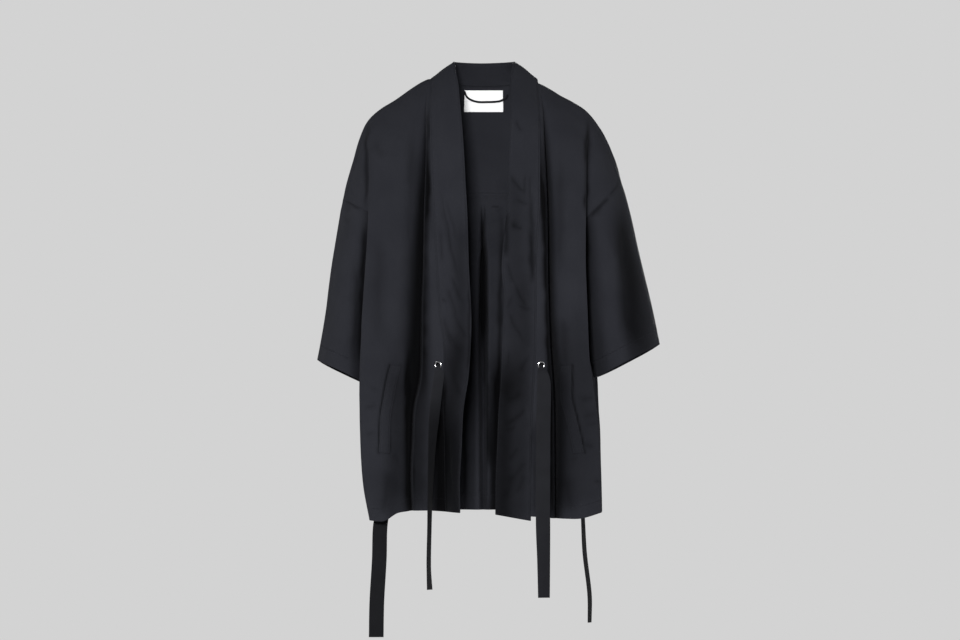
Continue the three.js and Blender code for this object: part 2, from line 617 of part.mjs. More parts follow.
function sleeveGrid(shape) {
  const angles = sleeveAngles(shape);
  const rows = [0, 0.06, 0.18, 0.32, 0.46, 0.6, 0.74, 0.88, 1];
  const { foldX } = tracks(FRONT_COLUMNS, shape.front);
  return rows.map((t) => angles.map((angle) => {
    const p = shape.ring(t, angle);
    const back = Math.max(0, -Math.sin(deg(angle)));
    p.z -= CUFF_DROP * back * smooth(0.7, 1, t);
    const beside = (Math.abs(p.x) - foldX(p.z) - DENT.outside) / DENT.width;
    const fore = smooth(DENT.from, DENT.full, angle) * smooth(0.02, 0.2, t);
    p.y += fore * DENT.depth[shape.name] * Math.exp(-beside * beside);
    return p;
  }));
}

// ---------------------------------------------------------------- neckband
/** Seam, middle and free points across the band beside each row of the front panel. */
function bandFront(shape, grid) {
  const free = tracks(BAND_COLUMNS, shape.band);
  const depth = single(BAND_PROFILE);
  const lift = single(BAND_LIFT);
  return FRONT_ROWS.map((v, r) => {
    const last = r === FRONT_ROWS.length - 1;
    const seam = grid[r][0].clone();
    const z = last ? shape.bandHem.free : seam.z + lift(v);
    const edge = V(shape.sign * free.freeX(z), depth(z) + free.setBack(z), z);
    if (last) {
      seam.z = shape.bandHem.seam;
    }
    const middle = seam.clone().lerp(edge, 0.5);
    middle.y -= free.midOut(z);
    return [seam, middle, edge];
  });
}

function bandNeck(sign, yokeRow) {
  return NECK.map(([, , , freeX, freeY, freeZ], i) => {
    const seam = yokeRow[i];
    const edge = V(sign * freeX, freeY, freeZ);
    const middle = seam.clone().lerp(edge, 0.5);
    middle.z += 1.5;
    return [seam, middle, edge];
  });
}

function neckbandGrid(left, right, leftGrid, rightGrid, yoke) {
  const cols = yoke[0].length;
  const neckColumns = NECK.map((_, i) => NECK_START + 2 * (i + 1));
  const neckLeft = bandNeck(-1, neckColumns.map((c) => yoke[0][c]));
  const neckRight = bandNeck(1, neckColumns.map((c) => yoke[0][cols - 1 - c]));
  const stations = [
    ...bandFront(left, leftGrid).reverse(),
    ...neckLeft,
    ...neckRight.slice(0, 3).reverse(),
    ...bandFront(right, rightGrid),
  ];
  const firstNeck = FRONT_ROWS.length - 1;
  const rows = [];
  stations.forEach((station, i) => {
    rows.push(station);
    const inNeck = i >= firstNeck && i < firstNeck + 8;
    if (!inNeck) {
      return;
    }
    const c = NECK_START + 2 * (i - firstNeck) + 1;
    const curves = [1, 2].map((k) => along(stations.map((s) => s[k])));
    rows.push([yoke[0][c].clone(), curves[0](i + 0.5), curves[1](i + 0.5)]);
  });
  return rows;
}

// ---------------------------------------------------------------- what lies on the panels
/** The point and normal of a grid where a line through (x, z) along Y meets it. */
function onGrid(grid, x, z, nearest = -1) {
  const normals = gridNormals(grid, false);
  let best = null;
  for (let r = 0; r < grid.length - 1; r += 1) {
    for (let c = 0; c < grid[0].length - 1; c += 1) {
      for (const ids of [[[r, c], [r + 1, c], [r + 1, c + 1]], [[r, c], [r + 1, c + 1], [r, c + 1]]]) {
        const [a, b, d] = ids.map(([i, j]) => grid[i][j]);
        const det = (b.x - a.x) * (d.z - a.z) - (d.x - a.x) * (b.z - a.z);
        if (Math.abs(det) > 1e-9) {
          const s = ((x - a.x) * (d.z - a.z) - (d.x - a.x) * (z - a.z)) / det;
          const t = ((b.x - a.x) * (z - a.z) - (x - a.x) * (b.z - a.z)) / det;
          if (s >= -1e-6 && t >= -1e-6 && s + t <= 1 + 1e-6) {
            const y = a.y + s * (b.y - a.y) + t * (d.y - a.y);
            if (!best || (y - best.point.y) * nearest > 0) {
              const n = normals[ids[0][0]][ids[0][1]].clone().multiplyScalar(1 - s - t)
                .addScaledVector(normals[ids[1][0]][ids[1][1]], s)
                .addScaledVector(normals[ids[2][0]][ids[2][1]], t);
              best = { point: V(x, y, z), normal: n.normalize() };
            }
          }
        }
      }
    }
  }
  if (best.normal.y > 0) {
    best.normal.negate();
  }
  return best;
}

/** A patch on a grid: rows of (x, z) moved toward the front by out. */
function patch(grid, places, out) {
  return places.map((row) => row.map(([x, z]) => {
    const { point, normal } = onGrid(grid, x, z);
    return point.addScaledVector(normal, out);
  }));
}

function pocketWelt(shape, grid) {
  const open = single(shape.welt.open.map(([x, z]) => [z, x]));
  const [top, bottom] = [shape.welt.open[0][1], shape.welt.open.at(-1)[1]];
  const rows = 8;
  const places = [];
  for (let i = 0; i <= rows; i += 1) {
    const z = mix(top, bottom, i / rows);
    places.push([0, 1 / 3, 2 / 3, 1].map((k) => [
      shape.sign * (open(z) - k * shape.welt.wide),
      z - 0.12 * k * shape.welt.wide,
    ]));
  }
  return wall(patch(grid, places, CLOTH / 2 + LAID_GAP + WELT / 2), WELT);
}

/** The bag follows the inside of the panel between its inner crest and its outer one. */
function pocketBag(shape, grid) {
  const first = FRONT_SAMPLES.indexOf(BAG_SAMPLES.first);
  const last = FRONT_SAMPLES.indexOf(BAG_SAMPLES.last);
  const normals = gridNormals(grid, false);
  const rows = [];
  grid.forEach((row, r) => {
    const { z } = row[first];
    if (z < shape.bag.top && z > shape.bag.bottom) {
      rows.push(row.slice(first, last + 1).map((p, i) => {
        const n = normals[r][first + i].clone();
        const inward = n.y > 0 ? 1 : -1;
        return p.clone().addScaledVector(n, inward * (CLOTH / 2 + 0.5 + BAG / 2));
      }));
    }
  });
  return wall(rows, BAG);
}

function eyeletPlace(shape, grid) {
  const [x, z] = [shape.sign * shape.eyelet[0], shape.eyelet[1]];
  const reach = 6;
  const across = onGrid(grid, x + reach, z).point.sub(onGrid(grid, x - reach, z).point);
  const up = onGrid(grid, x, z + reach).point.sub(onGrid(grid, x, z - reach).point);
  const normal = across.cross(up).normalize();
  return { point: onGrid(grid, x, z).point, normal: normal.y > 0 ? normal.negate() : normal };
}

/** A rolled ring through the cloth, its axis along the cloth's normal. */
function eyelet(place) {
  const inside = CLOTH / 2 + EYELET.play;
  const outside = inside + EYELET.lip;
  const profile = [
    [EYELET.hole, -outside], [EYELET.flange, -outside], [EYELET.flange, -inside], [EYELET.barrel, -inside],
    [EYELET.barrel, inside], [EYELET.flange, inside], [EYELET.flange, outside], [EYELET.hole, outside],
  ];
  const spokes = 16;
  const turn = new THREE.Quaternion().setFromUnitVectors(V(0, 0, 1), place.normal);
  const points = [];
  for (let i = 0; i < spokes; i += 1) {
    const a = (2 * Math.PI * i) / spokes;
    for (const [radius, height] of profile) {
      const local = V(radius * Math.cos(a), radius * Math.sin(a), height);
      points.push(local.applyQuaternion(turn).add(place.point));
    }
  }
  const n = profile.length;
  const faces = [];
  for (let i = 0; i < spokes; i += 1) {
    for (let j = 0; j < n; j += 1) {
      const [a, b] = [i * n + j, i * n + ((j + 1) % n)];
      const [c, d] = [((i + 1) % spokes) * n + ((j + 1) % n), ((i + 1) % spokes) * n + j];
      faces.push(a, b, c, a, c, d);
    }
  }
  return solid(points, faces);
}

/** A flat ribbon through rows of x, y, z, width and the turn of its width about Z, in degrees. */
function ribbon(rows, thickness) {
  const centres = rows.map(([x, y, z]) => V(x, y, z));
  const grid = rows.map(([, , , width, turn], i) => {
    const across = V(Math.cos(deg(turn)), Math.sin(deg(turn)), 0).multiplyScalar(width / 2);
    return [centres[i].clone().sub(across), centres[i].clone(), centres[i].clone().add(across)];
  });
  return wall(grid, thickness);
}

/** The tie: tail inside the front, waist through the eyelet, then the hanging ribbon. */
function frontTie(place, rows) {
  const { x, y, z } = place.point;
  const start = [
    [x, y + 9, z - 30, 8, 0],
    [x, y + 9.5, z - 8, 6, 0],
    [x, y + 6, z - 0.6, 4.4, 0],
    [x, y, z, 4.4, 0],
    [x, y - 5.5, z - 0.2, 4.4, 0],
    [x, y - 8.2, z - 3.5, 7, 0],
  ];
  return ribbon([...start, ...rows], RIBBON);
}

const LEFT_TIE = [
  [-73, -127, -478, 17, 8], [-76, -128.5, -505, 18, 18], [-80, -130, -540, 20, 32], [-84, -131, -590, 22, 55],
  [-87, -132, -660, 23, 68], [-88.5, -132, -730, 23, 74], [-89.5, -132, -790, 23.5, 74], [-88, -132, -828, 24, 70],
];
const RIGHT_TIE = [
  [95, -131, -476, 17, 6], [97, -132, -492, 22, 8], [96, -132.5, -560, 23.5, 8], [95.5, -133, -640, 23.5, 6],
  [95.5, -133, -720, 23.5, 8], [96.5, -133, -780, 22, 18], [97, -133, -841, 21, 26],
];
const INNER_TIE_SEAT = { y: -20, heights: [-468, -480, -492], width: 24 };
const LEFT_INNER_TIE = [
  [-148, -32, -552, 24, 76], [-152, -56, -600, 24, 60], [-157, -76, -660, 24, 44],
  [-162, -84, -695, 24, 30], [-168, -87, -722, 24, 12], [-170, -87, -780, 24, 6], [-174, -86, -850, 24, 4],
  [-175, -85, -906, 24, 4],
];
const RIGHT_INNER_TIE = [
  [158, -16, -560, 24, 86], [157, -4, -640, 24, 80], [161, -8, -711, 24, 76],
  [164, -10, -770, 24, 74], [172, -12, -840, 24, 74], [172, -14, -884, 24, 76],
];

/** The inner tie: stitched flat to the inside of the front beside the side seam, then hanging. */
function innerTie(shape, grid, rows) {
  const turned = grid.map((row) => row.slice(-10).map((p) => V(p.y, -shape.sign * p.x, p.z)));
  const { y, heights, width } = INNER_TIE_SEAT;
  const seat = heights.map((z) => {
    const [fore, middle, aft] = [-1, 0, 1].map((k) => {
      const { point, normal } = onGrid(turned, y + (k * width) / 2, z);
      point.addScaledVector(normal, -(CLOTH / 2 + 0.3 + RIBBON / 2));
      return V(-shape.sign * point.y, point.x, point.z);
    });
    const turn = THREE.MathUtils.radToDeg(Math.atan2(aft.y - fore.y, aft.x - fore.x));
    return [middle.x, middle.y, z, width, turn];
  });
  return ribbon([...seat, ...rows], RIBBON);
}

// ---------------------------------------------------------------- back of the neck
const LABELS = [
  { name: 'label_upper', x: [-33, 32], z: [-15, -33], out: 3.4 },
  { name: 'label_lower', x: [-33, 32], z: [-29.5, -50.5], out: 1.9 },
];
const LOOP = [
  [-34, -16], [-32.5, -20], [-28.5, -26], [-20, -31], [-9, -33.4], [6, -33.4], [18, -33], [28, -31.6],
  [36, -27.5], [41, -21],
];

function label(grid, { x, z, out }) {
  const places = [0, 0.5, 1].map((k) => [0, 0.25, 0.5, 0.75, 1].map((u) => [mix(x[0], x[1], u), mix(z[0], z[1], k)]));
  return wall(patch(grid, places, CLOTH / 2 + out - LABEL / 2), LABEL);
}

function hangerLoop(grid) {
  const path = LOOP.map(([x, z]) => {
    const { point, normal } = onGrid(grid, x, z);
    return point.addScaledVector(normal, CLOTH / 2 + 4.2 + LOOP_RADIUS);
  });
  const curve = new THREE.CatmullRomCurve3(path);
  const spokes = 6;
  const steps = 18;
  const frames = curve.computeFrenetFrames(steps);
  const points = [];
  for (let i = 0; i <= steps; i += 1) {
    for (let j = 0; j < spokes; j += 1) {
      const a = (2 * Math.PI * j) / spokes;
      points.push(curve.getPointAt(i / steps)
        .addScaledVector(frames.normals[i], LOOP_RADIUS * Math.cos(a))
        .addScaledVector(frames.binormals[i], LOOP_RADIUS * Math.sin(a)));
    }
  }
  const faces = [];
  for (let i = 0; i < steps; i += 1) {
    for (let j = 0; j < spokes; j += 1) {
      const k = (j + 1) % spokes;
      const [a, b, c, d] = [i * spokes + j, i * spokes + k, (i + 1) * spokes + k, (i + 1) * spokes + j];
      faces.push(a, b, c, a, c, d);
    }
  }
  for (let j = 1; j < spokes - 1; j += 1) {
    faces.push(0, j + 1, j);
    faces.push(steps * spokes, steps * spokes + j, steps * spokes + j + 1);
  }
  return solid(points, faces);
}

// ---------------------------------------------------------------- cutting
const kit = await Module();
kit.setup();

function toManifold(geometry) {
  const mesh = new kit.Mesh({
    numProp: 3,
    vertProperties: new Float32Array(geometry.attributes.position.array),
    triVerts: new Uint32Array(geometry.index.array),
  });
  mesh.merge();
  return new kit.Manifold(mesh);
}

function fromManifold(body) {
  const mesh = body.getMesh();
  const geometry = new THREE.BufferGeometry();
  geometry.setAttribute('position', new THREE.Float32BufferAttribute(mesh.vertProperties, 3));
  geometry.setIndex(Array.from(mesh.triVerts));
  geometry.computeVertexNormals();
  return geometry;
}

/** The panel with the eyelet's round hole through it. */
function pierced(geometry, place) {
  const cutter = new THREE.CylinderGeometry(EYELET.cut, EYELET.cut, 12, 16);
  cutter.applyQuaternion(new THREE.Quaternion().setFromUnitVectors(V(0, 1, 0), place.normal));
  cutter.translate(place.point.x, place.point.y, place.point.z);
  return fromManifold(toManifold(geometry).subtract(toManifold(cutter)));
}

// ---------------------------------------------------------------- assembly
const FINISHES = {
  twill: { color: 0x2c2d32, roughness: 0.9, metalness: 0 },
  ribbon: { color: 0x232429, roughness: 0.8, metalness: 0 },
  label: { color: 0xf4f5f5, roughness: 0.7, metalness: 0 },
  metal: { color: 0xc2c4c6, roughness: 0.25, metalness: 1 },
};

function piece(name, geometry, finish) {
  const mesh = new THREE.Mesh(geometry, new THREE.MeshStandardMaterial(FINISHES[finish]));
  mesh.name = name;
  return mesh;
}

function haoriShirt() {
  const group = new THREE.Group();
  group.name = 'haori_shirt';
  const left = sideShape(LEFT);
  const right = sideShape(RIGHT);
  const yoke = yokeGrid(left, right);
  const grids = { left: frontGrid(left, yoke[0]), right: frontGrid(right, yoke[0]) };
  const back = backGrid(left, right, yoke.at(-1));
  const yokeHemNormal = chain(yoke.at(-1), gridNormals(yoke, false).at(-1));

  for (const shape of [left, right]) {
    const grid = grids[shape.name];
    const place = eyeletPlace(shape, grid);
    const cut = trimmed(grid, { top: SEAM_TRIM, start: SEAM_TRIM, end: ARMHOLE_TRIM });
    group.add(piece(`front_${shape.name}`, pierced(wall(cut, CLOTH, false, shape.seamNormal), place), 'twill'));
    const sleeve = trimmed(sleeveGrid(shape), { top: ARMHOLE_TRIM });
    group.add(piece(`sleeve_${shape.name}`, wall(sleeve, CLOTH, true), 'twill'));
    group.add(piece(`pocket_welt_${shape.name}`, pocketWelt(shape, grid), 'twill'));
    group.add(piece(`pocket_bag_${shape.name}`, pocketBag(shape, grid), 'twill'));
    group.add(piece(`eyelet_${shape.name}`, eyelet(place), 'metal'));
    const tie = shape.sign < 0 ? LEFT_TIE : RIGHT_TIE;
    group.add(piece(`front_tie_${shape.name}`, frontTie(place, tie), 'ribbon'));
    const inner = shape.sign < 0 ? LEFT_INNER_TIE : RIGHT_INNER_TIE;
    group.add(piece(`inner_tie_${shape.name}`, innerTie(shape, grid, inner), 'ribbon'));
  }

  const shoulderNormal = (p) => {
    const shape = p.x < 0 ? left : right;
    return Math.abs(p.x) > Math.abs(shape.ridge(0).x) - 1 && p.y < SEAM_Y + 2 ? shape.seamNormal(p) : null;
  };
  const yokeCut = trimmed(yoke, { top: SEAM_TRIM, bottom: SEAM_TRIM, start: ARMHOLE_TRIM, end: ARMHOLE_TRIM });
  const backCut = trimmed(back, { top: SEAM_TRIM, start: ARMHOLE_TRIM, end: ARMHOLE_TRIM });
  group.add(piece('back_yoke', wall(yokeCut, CLOTH, false, shoulderNormal), 'twill'));
  group.add(piece('back_lower', wall(backCut, CLOTH, false, (p) => yokeHemNormal(p.x)), 'twill'));
  const band = neckbandGrid(left, right, grids.left, grids.right, yoke);
  group.add(piece('neckband', wall(trimmed(band, { start: NECK_TRIM }), BAND), 'twill'));
  for (const row of LABELS) {
    group.add(piece(row.name, label(yoke, row), 'label'));
  }
  group.add(piece('hanger_loop', hangerLoop(yoke), 'ribbon'));
  return group;
}

export default haoriShirt();
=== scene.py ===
"""Haori shirt in black twill: half sleeves, open front, neckband, welt pockets, eyelets and ribbon ties."""
import logging
import math
from dataclasses import dataclass, field
from enum import Enum
from typing import Any, Callable, Optional, Sequence, Union

import bpy
import numpy as np
from mathutils import Matrix, Quaternion, Vector


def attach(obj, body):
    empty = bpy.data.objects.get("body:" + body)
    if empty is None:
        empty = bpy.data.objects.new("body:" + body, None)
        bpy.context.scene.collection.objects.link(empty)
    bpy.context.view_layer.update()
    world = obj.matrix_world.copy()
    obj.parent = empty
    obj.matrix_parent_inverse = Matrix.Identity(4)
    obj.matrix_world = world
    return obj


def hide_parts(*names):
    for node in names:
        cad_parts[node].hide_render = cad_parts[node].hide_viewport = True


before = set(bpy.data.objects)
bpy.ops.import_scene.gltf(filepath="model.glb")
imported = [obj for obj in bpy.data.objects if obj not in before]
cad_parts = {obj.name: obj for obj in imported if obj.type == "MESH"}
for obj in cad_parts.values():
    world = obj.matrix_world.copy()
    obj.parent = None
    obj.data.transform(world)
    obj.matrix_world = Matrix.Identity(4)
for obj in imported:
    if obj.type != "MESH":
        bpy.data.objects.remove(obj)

LOG = logging.getLogger("haori_shirt")
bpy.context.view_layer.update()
MM = 0.001
BODY = "root"
Array = np.ndarray
Number = Union[float, Array]
Rows = Sequence[Sequence[float]]

# Sizes in millimetres, as in the part.
SEAM_DROP = 4.5
SEAM_Y = -15.0
SIDE_Y = 8.0
UNDERARM_V = 0.27
BACK_UNDERARM = 0.2
YOKE_RING_END = -70.0
RIDGE_T = 0.14
PLEAT_CENTRE = -1.5
SIDE_HEM = -705.0
FOLD_TUCK = (0, 0.45, 0.1)
FOLD_TURN = (1, 0.78, 0.3)
FOLD_WALL = (2, 0.3, 0.45)
BAG_SAMPLES = (6, 7.6)
FOLD_SAMPLE = 8
# Painted shade: darkness per millimetre of trough, the most that the shade tables paint, the most in deep
# folds and the most in troughs.
TROUGH_SHADE = 0.19
DARKEST = 0.96
FOLD_SHADE = 0.93
TROUGH_LIMIT = 0.6
CUFF_DROP = 5.0
NECK_START = 8
ARMHOLE_GROW = 3.6
SLEEVE_STEP = 7.5


class Side(Enum):
    """A side of the shirt, as seen from the front."""

    LEFT = -1
    RIGHT = 1


class Edge(Enum):
    """An edge of a panel's grid."""

    TOP = "top"
    BOTTOM = "bottom"
    START = "start"
    END = "end"


class Held(Enum):
    """How a cloth piece is held."""

    HUNG = "hung"
    FOLDED = "folded"
    LAID = "laid"


# ------------------------------------------------------------------ curves
def vec(x: float, y: float, z: float) -> Array:
    """A point or a direction."""
    return np.array([x, y, z], dtype=float)


def smooth(low: float, high: float, x: Number) -> Number:
    """A smooth step from 0 at low to 1 at high."""
    t = np.clip((np.asarray(x, dtype=float) - low) / (high - low), 0.0, 1.0)
    return t * t * (3.0 - 2.0 * t)


def mix(a: Number, b: Number, t: Number) -> Number:
    """The value t of the way from a to b."""
    return a + (b - a) * t


def hermite(a: Number, ta: Number, b: Number, tb: Number, t: Number) -> Number:
    """The point t along the curve from a to b with those end tangents."""
    t2, t3 = t * t, t * t * t
    return a * (2 * t3 - 3 * t2 + 1) + ta * (t3 - 2 * t2 + t) + b * (3 * t2 - 2 * t3) + tb * (t3 - t2)


def unit(way: Array) -> Array:
    """One direction, or rows of directions, at length 1."""
    return way / (np.linalg.norm(way) if way.ndim == 1 else np.linalg.norm(way, axis=-1, keepdims=True))


def to_front(normal: Array) -> Array:
    """A normal turned so that it looks to the front."""
    return -normal if normal[1] > 0 else normal


def ringed(grid: Array) -> Array:
    """A grid whose first column follows its last."""
    return np.concatenate([grid, grid[:, :1]], axis=1)


def numbered(rows: int, cols: int) -> Array:
    """The number of each point of a grid."""
    return np.arange(rows * cols).reshape(rows, cols)


def faces_of(*corners: Array) -> Array:
    """Faces from four grids of corner numbers."""
    return np.stack(corners, axis=-1).reshape(-1, 4)


def spaced(lengths: Array, step: float, closed: bool = False, least: int = 1) -> Array:
    """Places along a chain of stretches, about step apart, where whole numbers are its points."""
    places: list[float] = []
    for i, length in enumerate(lengths):
        count = max(least, round(length / step))
        places.extend(i + k / count for k in range(count))
    return np.array(places if closed else places + [len(lengths)])


class Track:
    """A monotone cubic through values at keys."""

    def __init__(self, keys: Sequence[float], values: Sequence[float]) -> None:
        """Sorts the keys and works out the slopes.

        Args:
            keys: where the values are.
            values: one value for each key.
        """
        order = np.argsort(keys)
        self.x = np.asarray(keys, dtype=float)[order]
        self.y = np.asarray(values, dtype=float)[order]
        step = np.diff(self.y) / np.diff(self.x)
        self.slope = np.concatenate([step[:1], np.zeros(len(step) - 1), step[-1:]])
        for i in range(1, len(step)):
            if step[i - 1] * step[i] > 0:
                self.slope[i] = 2 * step[i - 1] * step[i] / (step[i - 1] + step[i])

    def __call__(self, x: Number) -> Number:
        """The value at x, held level past the ends."""
        at = np.clip(x, self.x[0], self.x[-1])
        i = np.clip(np.searchsorted(self.x, at) - 1, 0, len(self.x) - 2)
        h = self.x[i + 1] - self.x[i]
        here, there = h * self.slope[i], h * self.slope[i + 1]
        return hermite(self.y[i], here, self.y[i + 1], there, (at - self.x[i]) / h)


def tracks(columns: str, rows: Rows) -> dict[str, Track]:
    """One track for each named column after the first, which is the key."""
    keys = [row[0] for row in rows]
    names = columns.split()[1:]
    return {name: Track(keys, [row[i + 1] for row in rows]) for i, name in enumerate(names)}


def single(rows: Rows) -> Track:
    """The track of a table of two columns."""
    return tracks("key value", rows)["value"]


def strand(points: Array, ts: Number, closed: bool = False) -> Array:
    """A smooth curve through points, or through rows of points at once.

    Args:
        points: the points along the first axis.
        ts: places on the curve, where whole numbers are the points.
        closed: True joins the last point to the first.

    Returns:
        One entry for each of ts.
    """
    points = np.asarray(points, dtype=float)
    ts = np.atleast_1d(np.asarray(ts, dtype=float))
    n = len(points)
    if closed:
        i = np.floor(ts).astype(int)
        w = ts - i
        p0, p1, p2, p3 = (points[(i + k) % n] for k in (-1, 0, 1, 2))
    else:
        i = np.clip(np.floor(ts).astype(int), 0, n - 2)
        w = ts - i
        ends = (2 * points[:1] - points[1:2], 2 * points[-1:] - points[-2:-1])
        padded = np.concatenate([ends[0], points, ends[1]])
        p0, p1, p2, p3 = (padded[i + k] for k in range(4))
    w = w.reshape((-1,) + (1,) * (points.ndim - 1))

    def gap(a: Array, b: Array) -> Array:
        """The centripetal step from a to b."""
        return np.sum((b - a) ** 2, axis=-1, keepdims=True) ** 0.25

    d0, d1, d2 = gap(p0, p1), gap(p1, p2), gap(p2, p3)
    d1 = np.where(d1 < 1e-4, 1.0, d1)
    d0 = np.where(d0 < 1e-4, d1, d0)
    d2 = np.where(d2 < 1e-4, d1, d2)
    t1 = ((p1 - p0) / d0 - (p2 - p0) / (d0 + d1) + (p2 - p1) / d1) * d1
    t2 = ((p2 - p1) / d1 - (p3 - p1) / (d1 + d2) + (p3 - p2) / d2) * d1
    return p1 + t1 * w + (-3 * p1 + 3 * p2 - 2 * t1 - t2) * w**2 + (2 * p1 - 2 * p2 + t1 + t2) * w**3


def chain(points: Array) -> Callable[[float], Array]:
    """A function that gives the point at x of a line of points in order of x."""
    return lambda x: np.array([np.interp(x, points[:, 0], points[:, k]) for k in range(3)])


def lattice(u: Array, v: Array, seed: int) -> Array:
    """Smooth random values from -1 to 1 whose cells are one unit wide."""
    rng = np.random.default_rng(seed)
    size = 64
    grid = rng.uniform(-1.0, 1.0, (size, size))
    i, j = np.floor(u).astype(int), np.floor(v).astype(int)
    fu, fv = u - i, v - j
    fu, fv = fu * fu * (3 - 2 * fu), fv * fv * (3 - 2 * fv)
    a, b = grid[i % size, j % size], grid[(i + 1) % size, j % size]
    c, d = grid[i % size, (j + 1) % size], grid[(i + 1) % size, (j + 1) % size]
    return mix(mix(a, b, fu), mix(c, d, fu), fv)


# ------------------------------------------------------------------ surfaces
class Surface:
    """The middle of a cloth wall: a grid of points in millimetres."""

    def __init__(
        self, grid: Array, outward: float = 1.0, closed: bool = False, columns: Optional[Array] = None
    ) -> None:
        """Keeps the grid.

        Args:
            grid: rows, columns, 3.
            outward: 1 or -1, which turns the grid's normals out of the garment.
            closed: True joins the last column to the first.
            columns: the place of each column on the grid that this one was refined from.
        """
        self.grid = np.asarray(grid, dtype=float)
        self.outward = outward
        self.closed = closed
        self.columns = columns
        self._faces: Optional[tuple[Array, Array]] = None

    def normals(self) -> Array:
        """Unit normals that point out of the garment."""
        g = self.grid
        h = ringed(g) if self.closed else g
        across, down = h[1:, 1:] - h[:-1, :-1], h[1:, :-1] - h[:-1, 1:]
        n = np.cross(across, down)
        out = np.zeros_like(h)
        for rows in (slice(0, -1), slice(1, None)):
            for cols in (slice(0, -1), slice(1, None)):
                out[rows, cols] += n
        if self.closed:
            out[:, 0] += out[:, -1]
            out = out[:, :-1]
        length = np.linalg.norm(out, axis=-1, keepdims=True)
        return self.outward * out / np.maximum(length, 1e-9)

    def arcs(self, axis: int) -> Array:
        """Distance along each column (axis 0) or each row (axis 1) from its first point."""
        steps = np.linalg.norm(np.diff(self.grid, axis=axis), axis=-1)
        start = np.zeros_like(self.grid[:1, :, 0] if axis == 0 else self.grid[:, :1, 0])
        return np.concatenate([start, np.cumsum(steps, axis=axis)], axis=axis)

    def refined(self, step: float) -> "Surface":
        """The same surface through the same points with a spacing of about step."""
        down = self._places(self.grid, step, False)
        grid = strand(self.grid, down)
        turned = np.swapaxes(grid, 0, 1)
        columns = self._places(turned, step, self.closed)
        finer = np.swapaxes(strand(turned, columns, self.closed), 0, 1)
        return Surface(finer, self.outward, self.closed, columns)

    @staticmethod
    def _places(grid: Array, step: float, closed: bool) -> Array:
        """Places along the first axis that are about step apart."""
        ahead = np.concatenate([grid[1:], grid[:1]]) if closed else grid[1:]
        behind = grid if closed else grid[:-1]
        return spaced(np.mean(np.linalg.norm(ahead - behind, axis=-1), axis=1), step, closed)

    def raised(self, amount: Array) -> "Surface":
        """The surface moved out along its normals."""
        grid = self.grid + self.normals() * amount[..., None]
        return Surface(grid, self.outward, self.closed, self.columns)

    def inset(self, edge: Edge, distance: float) -> Array:
        """Fractional grid places along a line at a distance inside one edge, as rows and columns."""
        across = edge in (Edge.TOP, Edge.BOTTOM)
        order = slice(None) if edge in (Edge.TOP, Edge.START) else slice(None, None, -1)
        away = self.edge_distance(edge)
        lines = away.T if across else away
        index = np.arange(lines.shape[1])[order]
        found = [np.interp(distance, line[order], index) for line in lines]
        along = np.arange(len(lines))
        return np.stack([found, along] if across else [along, found], axis=1)

    def edge_distance(self, edge: Edge) -> Array:
        """Distance of each grid point from one edge."""
        axis = 0 if edge in (Edge.TOP, Edge.BOTTOM) else 1
        arcs = self.arcs(axis)
        if edge in (Edge.TOP, Edge.START):
            return arcs
        return (arcs[-1:] if axis == 0 else arcs[:, -1:]) - arcs

    def measured(self) -> tuple[float, float, float]:
        """The longest row, the longest column and the area, in metres."""
        g = ringed(self.grid) if self.closed else self.grid
        area = 0.5 * np.linalg.norm(np.cross(g[1:, 1:] - g[:-1, :-1], g[1:, :-1] - g[:-1, 1:]), axis=-1).sum()
        across = np.linalg.norm(np.diff(g, axis=1), axis=-1).sum(axis=1).max()
        return float(across) * MM, float(self.arcs(0)[-1].max()) * MM, float(area) * MM * MM

    def look_up(self, values: Array, places: Array) -> Array:
        """Values of the grid at fractional places."""
        rows, cols = self.grid.shape[:2]
        r = np.clip(places[:, 0], 0, rows - 1.000001)
        c = np.clip(places[:, 1], 0, cols - 1.000001)
        i, j = r.astype(int), c.astype(int)
        fr, fc = (r - i)[:, None], (c - j)[:, None]
        top = mix(values[i, j], values[i, j + 1], fc)
        return mix(top, mix(values[i + 1, j], values[i + 1, j + 1], fc), fr)

    def at(self, x: float, z: float, nearest: float = -1.0) -> tuple[Array, Array]:
        """The point and the unit normal where the line through x and z along Y meets the grid.

        Args:
            x: place across.
            z: height.
            nearest: -1 takes the crossing nearest the front, 1 the one nearest the back.

        Returns:
            The point, and the normal turned to the front.
        """
        if self._faces is None:
            rows, cols = self.grid.shape[:2]
            ids = numbered(rows, cols)
            a, b, c, d = ids[:-1, :-1], ids[1:, :-1], ids[1:, 1:], ids[:-1, 1:]
            tris = np.concatenate([np.stack(three, -1).reshape(-1, 3) for three in ((a, b, c), (a, c, d))])
            self._faces = (tris, self.grid.reshape(-1, 3)[tris])
        tris, corners = self._faces
        a, b, c = corners[:, 0], corners[:, 1], corners[:, 2]
        det = (b[:, 0] - a[:, 0]) * (c[:, 2] - a[:, 2]) - (c[:, 0] - a[:, 0]) * (b[:, 2] - a[:, 2])
        det = np.where(np.abs(det) < 1e-9, np.inf, det)
        s = ((x - a[:, 0]) * (c[:, 2] - a[:, 2]) - (c[:, 0] - a[:, 0]) * (z - a[:, 2])) / det
        t = ((b[:, 0] - a[:, 0]) * (z - a[:, 2]) - (x - a[:, 0]) * (b[:, 2] - a[:, 2])) / det
        hit = np.flatnonzero((s >= -1e-6) & (t >= -1e-6) & (s + t <= 1 + 1e-6) & np.isfinite(det))
        y = a[hit, 1] + s[hit] * (b[hit, 1] - a[hit, 1]) + t[hit] * (c[hit, 1] - a[hit, 1])
        k = hit[np.argmax(y * nearest)]
        weights = np.array([1 - s[k] - t[k], s[k], t[k]])
        normals = self.normals().reshape(-1, 3)[tris[k]]
        return weights @ corners[k], to_front(unit(weights @ normals))


